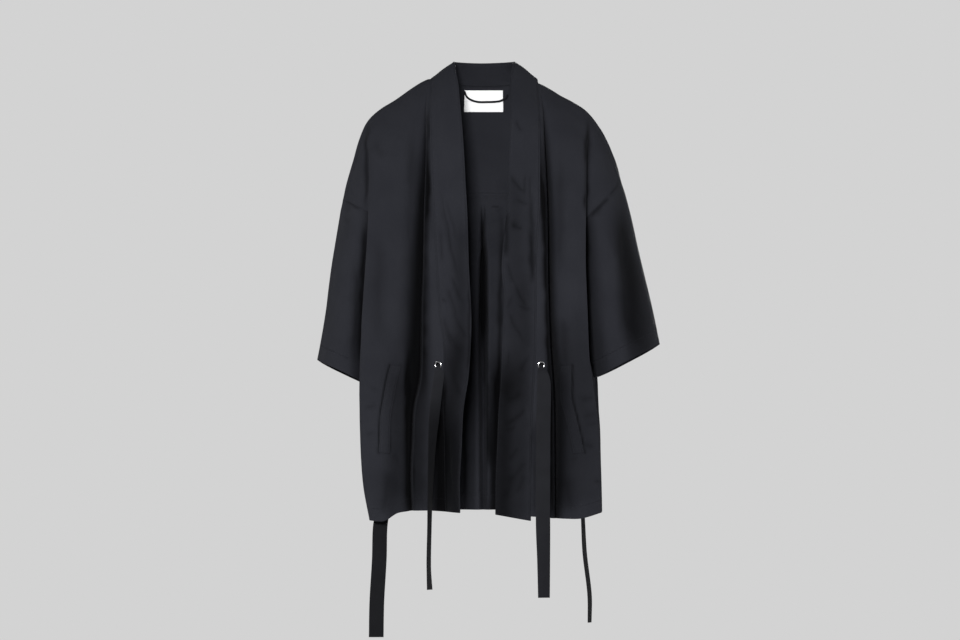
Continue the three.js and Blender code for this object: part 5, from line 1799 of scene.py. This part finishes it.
@dataclass
class Sleeves:
    """Both half sleeves."""

    pattern: Pattern
    cloth: float = 2.0
    step: float = 3.6
    creases: Creases = Creases([
        [221, -210, 236, -440, -6, 16, -5], [198, -250, 204, -470, 3, 14, 2.5],
        [243, -255, 262, -331, 2, 5, -1], [179, -194, 174, -213, 0, 4, -1.5],
        [190, -205, 182, -225, 1, 5, -1.2], [236, -380, 262, -440, 3, 7, -1.6],
        [-236, -200, -214, -212, 1, 5, -1.4], [-232, -222, -216, -232, 1, 5, -1.0],
        [-228, -260, -240, -450, 4, 15, 2], [-208, -280, -212, -470, -3, 12, -2.5],
        [-252, -380, -238, -430, 2, 6, -1.1],
    ])
    # Shade painted into the sleeves' colour along folds and seams, as lines.
    shades: Shades = Shades([
        [224, -170, 250, -540, -3, 16, 0.5], [248, -260, 274, -540, 0, 14, 0.42],
        [-230, -196, -199, -210, 0, 2, 0.4], [222, -165, 202, -191, 0, 2, 0.4],
        [202, -191, 172, -224, 0, 3, 0.6], [-194, -230, -202, -470, 0, 4, 0.8],
        [167, -220, 173, -480, 0, 5, 0.9],
    ])
    ripples: Ripples = Ripples([[44, 120, 1.3, 21], [18, 42, 0.4, 22]])
    fold_shade: float = 0.8
    tuck: float = 3.0
    tuck_angle: float = -80.0
    tuck_width: float = 16.0
    cut: Cut = Cut(0.46, 0.27, 0.113)

    def build(self, shop: Workshop) -> None:
        """Makes the sleeves.

        Args:
            shop: takes the finished pieces.
        """
        for shape in self.pattern.sides:
            name = shape.name
            grid = self.pattern.sleeve_grid(shape)
            surface = Surface(grid, 1.0, True)
            out = np.sum(surface.normals() * (grid - grid.mean(axis=1, keepdims=True)))
            surface = Surface(grid, 1.0 if out > 0 else -1.0, True).refined(self.step)
            x, z = surface.grid[..., 0], surface.grid[..., 2]
            facing = front_facing(surface)
            laid = self.creases.laid(surface, facing)
            over = self.shades.over(surface, facing)
            around = np.arange(surface.grid.shape[1]) / surface.grid.shape[1]
            wrap = smooth(0, 0.06, around) * (1 - smooth(0.94, 1, around))
            waves = self.ripples.over(surface) * wrap
            surface = surface.raised((laid + waves) * clear_of(surface, (Edge.TOP,)))
            angle = surface.columns * SLEEVE_STEP - 180
            tuck = self.tuck * np.exp(-(((angle - self.tuck_angle) / self.tuck_width) ** 2))
            surface.grid[0] += unit(surface.grid[0] - surface.grid[1]) * tuck[:, None]
            # Painted shade: the sleeve is darkened beside the body's outer fold, in its troughs and along its
            # shade table.
            hollow = self.pattern.beside_fold(shape, x, z) ** 2 * facing * self.fold_shade
            shade = combined(hollow, trough_shade(laid), over)
            hems = (Hem(Edge.BOTTOM, 26, 0.9, (24.0,)),)
            shell = Shell(f"half_sleeve_{name}", surface, self.cloth, hems, shade=(shade, None))
            shell.stitch(shop.stitches)
            shop.cloth(shell, "twill", [f"sleeve_{name}"], self.cut, Held.HUNG, [f"front_panel_{name}"])


@dataclass
class Neckband:
    """The folded band that runs down both fronts and round the neck."""

    pattern: Pattern
    thickness: float = 3.0
    step: float = 2.1
    creases: Creases = Creases([
        [-70, -179, -38, -331, 3, 3.5, -1.9], [-61, -194, -44, -267, 1, 3, -1.3],
        [-72, -240, -65, -301, 2, 3, -1.4], [-53, -316, -32, -366, 2, 3, -1.6],
        [-61, -335, -44, -400, -2, 3.5, -1.5], [-70, -354, -60, -363, 0, 2.5, -1.3],
        [-65, -381, -53, -438, 2, 3.5, -1.5], [-44, -388, -28, -423, 1, 3, -1.4],
        [-66, -190, -48, -262, 2, 4, 0.9], [-50, -345, -36, -392, 1, 4, 0.9],
        [-60, -407, -34, -446, 2, 4, -1.4], [-50, -470, -34, -520, 2, 6, -1.5],
        [-56, -560, -50, -690, 2, 7, -2.0], [-62, -300, -58, -330, 0, 3, 0.8],
        [49, -65, 65, -86, 1, 3, -1.5], [44, -156, 65, -184, 2, 3.5, -2.0], [49, -194, 72, -203, 1, 3, -1.5],
        [70, -149, 64, -196, 1, 2.5, -1.5], [78, -152, 73, -200, 1, 2.5, -1.3],
        [44, -232, 65, -245, 2, 3.5, -2.2], [72, -240, 80, -334, -2, 4, -2.6],
        [38, -293, 49, -336, 2, 3.5, -1.7], [49, -331, 72, -370, 3, 3.5, -2.0],
        [53, -365, 80, -374, 1, 3, -1.7], [38, -373, 65, -427, 3, 3.5, -1.7],
        [46, -350, 38, -376, 1, 3, -1.3], [46, -226, 54, -240, 0, 5, -1.0], [60, -210, 66, -290, -3, 5, 1.4],
        [42, -262, 50, -318, 2, 5, 1.2], [32, -522, 65, -505, 3, 4, -1.9],
        [27, -560, 72, -529, 5, 4.5, -2.3], [30, -570, 53, -560, 2, 3, -1.5],
        [38, -620, 54, -597, 2, 4, -1.6], [31, -652, 72, -615, 5, 6, -1.8], [50, -674, 66, -636, 2, 5, -1.4],
        [53, -476, 74, -446, 2, 4, -1.7], [36, -476, 40, -440, 2, 4, -1.4], [69, -522, 76, -579, 0, 5, 1.4],
        [30, -686, 46, -640, 2, 7, -1.5],
    ])
    ripples: Ripples = Ripples([[30, 60, 0.7, 31], [13, 28, 0.3, 32]])
    # Shade painted into the band's colour along its folds, as lines.
    shades: Shades = Shades([
        [-50, -400, -42, -800, 0, 20, 0.68], [-65, -480, -68, -712, 0, 5, 0.9],
        [36, -212, 35, -292, 0, 5, 0.55], [75, -186, 78, -336, 0, 4.5, 0.45],
        [52, -300, 48, -540, 0, 20, 0.28], [34, -440, 32, -790, 0, 18, 0.7], [80, -560, 80, -712, 0, 4, 0.5],
        [64, -420, 60, -760, 0, 16, 0.4], [-36, -220, -38, -480, 0, 13, 0.36],
        [-23, -330, -26, -480, 0, 3, 0.4], [48, -150, 56, -330, 0, 17, 0.3],
        [66, -310, 70, -450, 0, 12, 0.25],
    ])
    cut: Cut = Cut(0.064, 1.75, 0.0914)
    surface: Optional[Surface] = None

    def build(self, shop: Workshop) -> None:
        """Makes the band.

        Args:
            shop: takes the finished piece.
        """
        plain = Surface(self.pattern.band).refined(self.step)
        facing = front_facing(plain)
        laid = self.creases.laid(plain, facing)
        relief = (laid + self.ripples.over(plain)) * clear_of(plain, (Edge.START,), 2.0, 12.0)
        self.surface = plain.raised(relief)
        hems = (Hem(Edge.START, 3, 0, (2.2,)), Hem(Edge.END, 3, 0, (2.4,)), Hem(Edge.TOP, 3, 0, (3.0,)),
                Hem(Edge.BOTTOM, 3, 0, (3.0,)))
        # Painted shade: the band is darkened below about z -480 by its depth behind the plain front, in its
        # troughs and along its shade table.
        low = 1 - smooth(-540, -480, self.surface.grid[..., 2])
        deep = shade_below(front_depth(self.surface, self.pattern.left), -5, 42) * low
        shade = combined(deep, trough_shade(laid), self.shades.over(plain, facing))
        shell = Shell("neckband_piece", self.surface, self.thickness, hems, 1.0, (shade, None))
        shell.stitch(shop.stitches)
        fronts = ["front_panel_left", "front_panel_right"]
        shop.cloth(shell, "twill", ["neckband"], self.cut, Held.FOLDED, fronts)


@dataclass
class Pockets:
    """Slanted welts and the bags inside."""

    pattern: Pattern
    fronts: dict[str, Surface]
    shades: dict[Side, Shades]
    cloth: float = 2.0
    gap: float = 0.9
    welt: float = 1.4
    bag: float = 1.2
    wide: float = 16.0
    welt_rows: int = 49
    welt_columns: int = 8
    slant: float = 0.12
    bag_gap: float = 1.6
    bag_heights: tuple[float, float] = (-640, -452)
    bag_step: float = 5.0
    welt_cut: Cut = Cut(0.019, 0.144)
    bag_cut: Cut = Cut(0.058, 0.105, 0.0054)

    def build(self, shop: Workshop) -> None:
        """Makes both pockets.

        Args:
            shop: takes the finished pieces.
        """
        for shape in self.pattern.sides:
            name = shape.name
            front = self.fronts[f"front_{name}"]
            welt = self.welt_surface(shape, front)
            # Painted shade: the welt takes the front's shade table.
            shade = self.shades[shape.side].over(welt, np.ones(welt.grid.shape[:2]))
            hems = tuple(Hem(edge, 3, 0, (1.8,), False) for edge in Edge)
            shell = Shell(f"welt_{name}", welt, self.welt, hems, 0.4, (shade, None))
            shell.stitch(shop.stitches)
            shop.cloth(
                shell, "twill", [f"pocket_welt_{name}"], self.welt_cut, Held.LAID, [f"front_panel_{name}"]
            )
            shell = Shell(f"bag_{name}", self.bag_surface(shape), self.bag, (), 0.3)
            shop.cloth(
                shell, "twill", [f"pocket_bag_{name}"], self.bag_cut, Held.HUNG, [f"front_panel_{name}"]
            )

    def welt_surface(self, shape: SideShape, front: Surface) -> Surface:
        """The welt, laid on the front."""
        opening = single([[z, x] for x, z in shape.tables.welt])
        top, bottom = shape.tables.welt[0][1], shape.tables.welt[-1][1]
        grid = []
        for i in range(self.welt_rows):
            z = mix(top, bottom, i / (self.welt_rows - 1))
            row = []
            for k in np.linspace(0, 1, self.welt_columns):
                x = shape.sign * (float(opening(z)) - k * self.wide)
                point, normal = front.at(x, z - self.slant * k * self.wide)
                row.append(point + normal * (self.cloth / 2 + self.gap + self.welt / 2))
            grid.append(row)
        surface = Surface(np.array(grid), -shape.sign)
        facing = np.sum(surface.normals()[..., 1])
        return Surface(surface.grid, surface.outward * (1.0 if facing < 0 else -1.0))

    def bag_surface(self, shape: SideShape) -> Surface:
        """The bag, on the inside of the front."""
        coarse = self.pattern.fronts[shape.side]
        first, last = (FRONT_SAMPLES.index(sample) for sample in BAG_SAMPLES)
        whole = Surface(coarse, -shape.sign)
        inner = coarse - whole.normals() * (self.cloth / 2 + 0.5 + self.bag / 2 + self.bag_gap)
        low, high = self.bag_heights
        rows = [r for r in range(len(coarse)) if low < coarse[r, first, 2] < high]
        return Surface(inner[rows, first:last + 1], -shape.sign).refined(self.bag_step)


@dataclass(frozen=True)
class Ribbon:
    """A flat ribbon through rows of x, y, z, width and the turn of its width about Z, in degrees."""

    name: str
    rows: Rows
    thickness: float = 1.0
    step: float = 3.0
    cup: float = 0.5

    def surface(self) -> Surface:
        """The middle of the ribbon."""
        rows = np.array(self.rows, dtype=float)
        lengths = np.linalg.norm(np.diff(rows[:, :3], axis=0), axis=1)
        places = spaced(lengths, self.step, least=2)
        fine = strand(rows[:, :3], places)
        sizes = np.array([Track(range(len(rows)), rows[:, k])(places) for k in (3, 4)])
        turn = np.radians(sizes[1])
        across = np.stack([np.cos(turn), np.sin(turn), 0 * turn], axis=1)
        out = np.cross(unit(np.gradient(fine, axis=0)), across)
        spread = np.linspace(-1, 1, 9)
        grid = (
            fine[:, None] + across[:, None] * (sizes[0][:, None] / 2 * spread)[..., None]
            + out[:, None] * (self.cup * (1 - spread**2))[None, :, None]
        )
        return Surface(grid)


@dataclass
class Ties:
    """Eyelets, the ties through them and the inner ties."""

    pattern: Pattern
    fronts: dict[str, Surface]
    cloth: float = 2.0
    front_rows: dict[Side, Rows] = field(default_factory=lambda: {
        Side.LEFT: [
            [-73, -127, -478, 17, 8], [-76, -128.5, -505, 18, 18], [-80, -130, -540, 20, 32],
            [-84, -131, -590, 22, 55], [-87, -132, -660, 23, 68], [-88.5, -132, -730, 23, 74],
            [-89.5, -132, -790, 23.5, 74], [-88, -132, -828, 24, 70],
        ],
        Side.RIGHT: [
            [95, -131, -476, 17, 6], [97, -132, -492, 22, 8], [96, -132.5, -560, 23.5, 8],
            [95.5, -133, -640, 23.5, 6], [95.5, -133, -720, 23.5, 8], [96.5, -133, -780, 22, 18],
            [97, -133, -841, 21, 26],
        ],
    })
    inner_rows: dict[Side, Rows] = field(default_factory=lambda: {
        Side.LEFT: [
            [-148, -32, -552, 24, 76], [-152, -56, -600, 24, 60], [-157, -76, -660, 24, 44],
            [-162, -84, -695, 24, 30], [-168, -87, -722, 24, 12], [-170, -87, -780, 24, 6],
            [-174, -86, -850, 24, 4], [-175, -85, -906, 24, 4],
        ],
        Side.RIGHT: [
            [158, -16, -560, 24, 86], [157, -4, -640, 24, 80], [161, -8, -711, 24, 76],
            [164, -10, -770, 24, 74], [172, -12, -840, 24, 74], [172, -14, -884, 24, 76],
        ],
    })
    through: Rows = (
        (9, -30, 8), (9.5, -8, 6), (6, -0.6, 4.4), (0, 0, 4.4), (-5.5, -0.2, 4.4), (-8.2, -3.5, 7),
    )
    bore: float = 3.1
    roll_middle: float = 4.8
    roll_half: float = 1.7
    seat_y: float = -20.0
    seat_heights: tuple[float, ...] = (-468, -480, -492)
    seat_width: float = 24.0
    # How dark each ribbon is painted below these heights, where it hangs in shadow.
    shade_heights: tuple[float, float] = (-560, -500)
    front_shade: dict[Side, float] = field(default_factory=lambda: {Side.LEFT: 0.45, Side.RIGHT: 0.05})
    inner_shade: dict[Side, float] = field(default_factory=lambda: {Side.LEFT: 0.52, Side.RIGHT: 0.65})
    front_cut: Cut = Cut(0.024, 0.42, 0.0085)
    inner_cut: Cut = Cut(0.024, 0.44, 0.0103)

    def build(self, shop: Workshop) -> None:
        """Makes both sides.

        Args:
            shop: takes the finished pieces.
        """
        for shape in self.pattern.sides:
            side = shape.side
            name = side.name.lower()
            point, normal = eyelet_place(shape, self.fronts[f"front_{name}"])
            shop.place(self.eyelet(f"eyelet_ring_{name}", point, normal), "metal", [f"eyelet_{name}"])
            x, y, z = point
            start = [[x, y + back, z + up, wide, 0] for back, up, wide in self.through]
            tie = Ribbon(f"tie_{name}", start + list(self.front_rows[side]))
            inner = Ribbon(f"inside_tie_{name}", self.seat(shape) + list(self.inner_rows[side]), cup=0.3)
            for ribbon, node, cut, rests_on, dark in (
                (tie, f"front_tie_{name}", self.front_cut, f"eyelet_ring_{name}", self.front_shade[side]),
                (inner, f"inner_tie_{name}", self.inner_cut, f"front_panel_{name}", self.inner_shade[side]),
            ):
                surface = ribbon.surface()
                # Painted shade: each ribbon is darkened from about z -500 down, where it hangs in shadow.
                shade = dark * (1 - smooth(*self.shade_heights, surface.grid[..., 2]))
                shell = Shell(ribbon.name, surface, ribbon.thickness, (), 0.25, (shade, shade))
                shop.cloth(shell, "ribbon", [node], cut, Held.HUNG, [rests_on])

    def seat(self, shape: SideShape) -> list[list[float]]:
        """Rows of the inner tie where it is stitched inside the front."""
        sign = shape.sign
        grid = self.pattern.fronts[shape.side][:, -10:]
        turned = Surface(np.stack([grid[..., 1], -sign * grid[..., 0], grid[..., 2]], axis=-1))
        rows = []
        for z in self.seat_heights:
            places = []
            for k in (-1, 0, 1):
                point, normal = turned.at(self.seat_y + k * self.seat_width / 2, z)
                point = point - normal * (self.cloth / 2 + 0.3 + 0.6)
                places.append((-sign * point[1], point[0]))
            turn = math.degrees(math.atan2(places[2][1] - places[0][1], places[2][0] - places[0][0]))
            rows.append([places[1][0], places[1][1], z, self.seat_width, turn])
        return rows

    def eyelet(self, name: str, point: Array, normal: Array) -> bpy.types.Object:
        """A rolled ring through the cloth, its axis along the cloth's normal."""
        spokes, beads = 48, 10
        lip = self.cloth / 2 + 0.8
        profile = [(self.bore, 0.0)]
        for face in (1, -1):
            for a in np.linspace(0, math.pi, beads + 1):
                from_axis = self.roll_middle - face * self.roll_half * math.cos(a)
                profile.append((from_axis, face * (lip + 0.9 * math.sin(a))))
        turn = np.array(quaternion_to(normal).to_matrix())
        grid = []
        for i in range(spokes):
            a = 2 * math.pi * i / spokes
            grid.append([turn @ vec(r * math.cos(a), r * math.sin(a), h) + point for r, h in profile])
        points = np.array(grid).reshape(-1, 3)
        ids = numbered(spokes, len(profile))
        ahead = np.roll(ids, -1, axis=1)
        quads = faces_of(ids, ahead, np.roll(ahead, -1, axis=0), np.roll(ids, -1, axis=0))
        return mesh_object(name, points * MM, turned_out(points, quads), points[:, :2] * MM)


@dataclass
class NeckBack:
    """Two sewn labels and the hanger loop inside the back of the neck."""

    yoke: Surface
    cloth: float = 2.0
    tape: float = 0.8
    labels: tuple[tuple[str, tuple[float, float], tuple[float, float], float], ...] = (
        ("label_upper", (-33, 32), (-15, -33), 3.4), ("label_lower", (-33, 32), (-29.5, -50.5), 1.9),
    )
    loop: Rows = (
        (-34, -16), (-32.5, -20), (-28.5, -26), (-20, -31), (-9, -33.4), (6, -33.4), (18, -33), (28, -31.6),
        (36, -27.5), (41, -21),
    )
    loop_radius: float = 1.6
    loop_out: float = 4.2
    loop_steps: int = 90
    loop_sides: int = 12
    label_rows: int = 9
    label_columns: int = 27
    label_cut: Cut = Cut(0.065, 0.021)

    def build(self, shop: Workshop) -> None:
        """Makes the labels and the loop.

        Args:
            shop: takes the finished pieces.
        """
        for name, xs, zs, out in self.labels:
            grid = []
            for k in np.linspace(0, 1, self.label_rows):
                row = []
                for u in np.linspace(0, 1, self.label_columns):
                    point, normal = self.yoke.at(mix(xs[0], xs[1], u), mix(zs[0], zs[1], k))
                    row.append(point + normal * (self.cloth / 2 + out - self.tape / 2))
                grid.append(row)
            surface = Surface(np.array(grid))
            if surface.normals()[..., 1].sum() > 0:
                surface = Surface(surface.grid, -1.0)
            hems = tuple(Hem(edge, 2, 0, (1.2,), False) for edge in (Edge.TOP, Edge.START, Edge.END))
            shell = Shell(f"{name}_tape", surface, self.tape, hems, 0.2)
            shell.stitch(shop.white)
            shop.cloth(shell, "label", [name], self.label_cut, Held.LAID, ["back_yoke_panel"])
        shop.place(self.hanger_loop(), "ribbon", ["hanger_loop"])

    def hanger_loop(self) -> bpy.types.Object:
        """The loop, a round braid."""
        path = []
        for x, z in self.loop:
            point, normal = self.yoke.at(x, z)
            path.append(point + normal * (self.cloth / 2 + self.loop_out + self.loop_radius))
        fine = strand(np.array(path), np.linspace(0, len(path) - 1, self.loop_steps))
        way = unit(np.gradient(fine, axis=0))
        side = unit(np.cross(way, vec(0, 1, 0)))
        up = np.cross(side, way)
        angles = np.linspace(0, 2 * math.pi, self.loop_sides, endpoint=False)
        arc = np.concatenate([[0], np.cumsum(np.linalg.norm(np.diff(fine, axis=0), axis=1))])
        points = fine[:, None] + self.loop_radius * (
            side[:, None] * np.cos(angles)[None, :, None] + up[:, None] * np.sin(angles)[None, :, None]
        )
        unrolled = np.broadcast_arrays(angles[None] * self.loop_radius, arc[:, None])
        flat = np.stack(unrolled, axis=-1).reshape(-1, 2)
        rows, cols = points.shape[:2]
        ids = numbered(rows, cols)
        ring = ringed(ids)
        quads = faces_of(ring[:-1, :-1], ring[:-1, 1:], ring[1:, 1:], ring[1:, :-1])
        caps = []
        for row, turn in ((ids[0], 1), (ids[-1], -1)):
            half = cols // 2
            for j in range(half - 1):
                caps.append([row[j], row[j + 1], row[cols - 2 - j], row[cols - 1 - j]][::turn])
        quads = np.concatenate([quads, np.array(caps)])
        corners = points.reshape(-1, 3)
        return mesh_object("neck_loop", corners * MM, turned_out(corners, quads), flat * MM)


# ------------------------------------------------------------------ thread
@dataclass(frozen=True)
class ThreadTree:
    """Geometry nodes that lay one stitch on every point of a mesh."""

    length: float = 0.0024
    width: float = 0.0006
    height: float = 0.00055

    def tree(self) -> bpy.types.NodeTree:
        """Builds the node tree."""
        tree = bpy.data.node_groups.new("stitch_rows", "GeometryNodeTree")
        face = tree.interface
        face.new_socket("Geometry", in_out="INPUT", socket_type="NodeSocketGeometry")
        for name in ("Length", "Width", "Height"):
            face.new_socket(name, in_out="INPUT", socket_type="NodeSocketFloat")
        face.new_socket("Thread", in_out="INPUT", socket_type="NodeSocketMaterial")
        face.new_socket("Geometry", in_out="OUTPUT", socket_type="NodeSocketGeometry")
        nodes, links = tree.nodes, tree.links
        given, result = nodes.new("NodeGroupInput"), nodes.new("NodeGroupOutput")
        bead = nodes.new("GeometryNodeMeshIcoSphere")
        bead.inputs["Radius"].default_value, bead.inputs["Subdivisions"].default_value = 0.5, 1
        size = nodes.new("ShaderNodeCombineXYZ")
        for name, socket in (("Length", 0), ("Width", 1), ("Height", 2)):
            links.new(given.outputs[name], size.inputs[socket])
        turns = []
        for name, axis in (("out", "Z"), ("way", "X")):
            stored = nodes.new("GeometryNodeInputNamedAttribute")
            stored.data_type = "FLOAT_VECTOR"
            stored.inputs["Name"].default_value = name
            turn = nodes.new("FunctionNodeAlignRotationToVector")
            turn.axis = axis
            turn.pivot_axis = "AUTO" if axis == "Z" else "Z"
            links.new(stored.outputs["Attribute"], turn.inputs["Vector"])
            if turns:
                links.new(turns[-1].outputs["Rotation"], turn.inputs["Rotation"])
            turns.append(turn)
        lay = nodes.new("GeometryNodeInstanceOnPoints")
        links.new(given.outputs["Geometry"], lay.inputs["Points"])
        links.new(bead.outputs["Mesh"], lay.inputs["Instance"])
        links.new(turns[-1].outputs["Rotation"], lay.inputs["Rotation"])
        links.new(size.outputs[0], lay.inputs["Scale"])
        real, smoothed = nodes.new("GeometryNodeRealizeInstances"), nodes.new("GeometryNodeSetShadeSmooth")
        painted = nodes.new("GeometryNodeSetMaterial")
        links.new(lay.outputs[0], real.inputs[0])
        links.new(real.outputs[0], smoothed.inputs[0])
        links.new(smoothed.outputs[0], painted.inputs[0])
        links.new(given.outputs["Thread"], painted.inputs["Material"])
        links.new(painted.outputs[0], result.inputs[0])
        return tree

    def sew(self, name: str, stitches: Stitches, material: bpy.types.Material) -> bpy.types.Object:
        """Makes a mesh of all the stitches.

        Args:
            name: the piece's name.
            stitches: where they are.
            material: the thread.

        Returns:
            The piece.
        """
        centres = np.concatenate(stitches.centres) * MM
        mesh = bpy.data.meshes.new(name)
        mesh.vertices.add(len(centres))
        mesh.vertices.foreach_set("co", centres.astype(np.float32).ravel())
        for key, parts in (("way", stitches.ways), ("out", stitches.outs)):
            stored = mesh.attributes.new(key, "FLOAT_VECTOR", "POINT")
            stored.data.foreach_set("vector", np.concatenate(parts).astype(np.float32).ravel())
        piece = linked(name, mesh)
        modifier = piece.modifiers.new("stitch_rows", "NODES")
        modifier.node_group = self.tree()
        values = {"Length": self.length, "Width": self.width, "Height": self.height, "Thread": material}
        for item in modifier.node_group.interface.items_tree:
            if item.in_out == "INPUT" and item.name in values:
                modifier[item.identifier] = values[item.name]
        return applied(piece)


# ------------------------------------------------------------------ studio
@dataclass(frozen=True)
class Studio:
    """Pale floor, soft light and a long lens straight in front."""

    distance: float = 20.0
    frame_width: float = 1.5648
    aim: tuple[float, float] = (-0.00652, -0.3912)
    floor_z: float = -1.75
    floor_size: float = 9.0
    backdrop: float = 0.6514
    ambient: float = 0.05
    lamps: tuple[tuple[str, tuple[float, float, float], tuple[float, float], float], ...] = (
        ("front", (-0.5, -7.0, 0.7), (0.9, 0.9), 630), ("key", (-3.2, -4.6, 1.9), (1.2, 1.2), 30),
        ("fill", (2.6, -5.5, 0.3), (1.4, 1.4), 20), ("left", (-5.0, 1.2, 0.4), (1.6, 1.6), 110),
        ("right", (5.0, 1.2, 0.4), (1.6, 1.6), 110), ("back", (0.4, 5.6, 0.8), (2.0, 1.8), 420),
    )

    def camera(self) -> None:
        """Adds the camera."""
        data = bpy.data.cameras.new("camera")
        data.sensor_width = 36.0
        data.lens = data.sensor_width * self.distance / self.frame_width
        data.clip_start, data.clip_end = 0.1, 100.0
        camera = linked("camera", data)
        camera.location = (self.aim[0], -self.distance, self.aim[1])
        camera.rotation_euler = (math.pi / 2, 0, 0)
        bpy.context.scene.camera = camera

    def light(
        self, name: str, place: tuple[float, float, float], size: tuple[float, float], power: float
    ) -> None:
        """Adds a soft box that looks at the middle of the object."""
        data = bpy.data.lights.new(name, "AREA")
        data.shape, data.size, data.size_y, data.energy = "RECTANGLE", size[0], size[1], power
        lamp = linked(name, data)
        lamp.location = place
        lamp.rotation_euler = (Vector((0, 0, -0.35)) - Vector(place)).to_track_quat("-Z", "Y").to_euler()

    def floor(self) -> None:
        """Adds the floor under the object."""
        half = self.floor_size / 2
        spread = ((-1, -1), (1, -1), (1, 1), (-1, 1))
        corners = np.array([[half * x, half * y, self.floor_z] for x, y in spread])
        floor = mesh_object("floor", corners, np.array([[0, 1, 2, 3]]), corners[:, :2])
        floor.data.materials.append(PaleFloor().build())

    def world(self) -> None:
        """A pale backdrop to the camera and even light to the cloth."""
        world = bpy.data.worlds.new("studio")
        world.use_nodes = True
        tree = world.node_tree
        tree.nodes.clear()
        seen, cast = tree.nodes.new("ShaderNodeBackground"), tree.nodes.new("ShaderNodeBackground")
        seen.inputs["Color"].default_value = (self.backdrop, self.backdrop, self.backdrop, 1)
        cast.inputs["Color"].default_value = (0.97, 0.98, 1.0, 1)
        cast.inputs["Strength"].default_value = self.ambient
        path, both = tree.nodes.new("ShaderNodeLightPath"), tree.nodes.new("ShaderNodeMixShader")
        out = tree.nodes.new("ShaderNodeOutputWorld")
        tree.links.new(path.outputs["Is Camera Ray"], both.inputs[0])
        tree.links.new(cast.outputs[0], both.inputs[1])
        tree.links.new(seen.outputs[0], both.inputs[2])
        tree.links.new(both.outputs[0], out.inputs[0])
        bpy.context.scene.world = world

    def build(self) -> None:
        """Sets up the studio."""
        bpy.context.scene.view_settings.view_transform = "Standard"
        self.camera()
        self.floor()
        self.world()
        for name, place, size, power in self.lamps:
            self.light(name, place, size, power)


def main() -> None:
    """Builds the shirt and the studio."""
    logging.basicConfig(level=logging.INFO, format="%(name)s: %(message)s")
    Studio().build()
    shop = Workshop(Palette.mixed())
    pattern = Pattern()
    body = Body(pattern)
    body.build(shop)
    Sleeves(pattern).build(shop)
    Neckband(pattern).build(shop)
    Pockets(pattern, body.surfaces, {Side.LEFT: body.left_shades, Side.RIGHT: body.right_shades}).build(shop)
    Ties(pattern, body.surfaces).build(shop)
    NeckBack(body.surfaces["yoke"]).build(shop)
    threads = ThreadTree()
    for name, stitches, slot, thread in (
        ("topstitching", shop.stitches, "twill", shop.palette.thread),
        ("label_stitching", shop.white, "label", shop.palette.white_thread),
    ):
        shop.place(threads.sew(name, stitches, thread), slot, (), thread)
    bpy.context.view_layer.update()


if __name__ == "__main__":
    main()
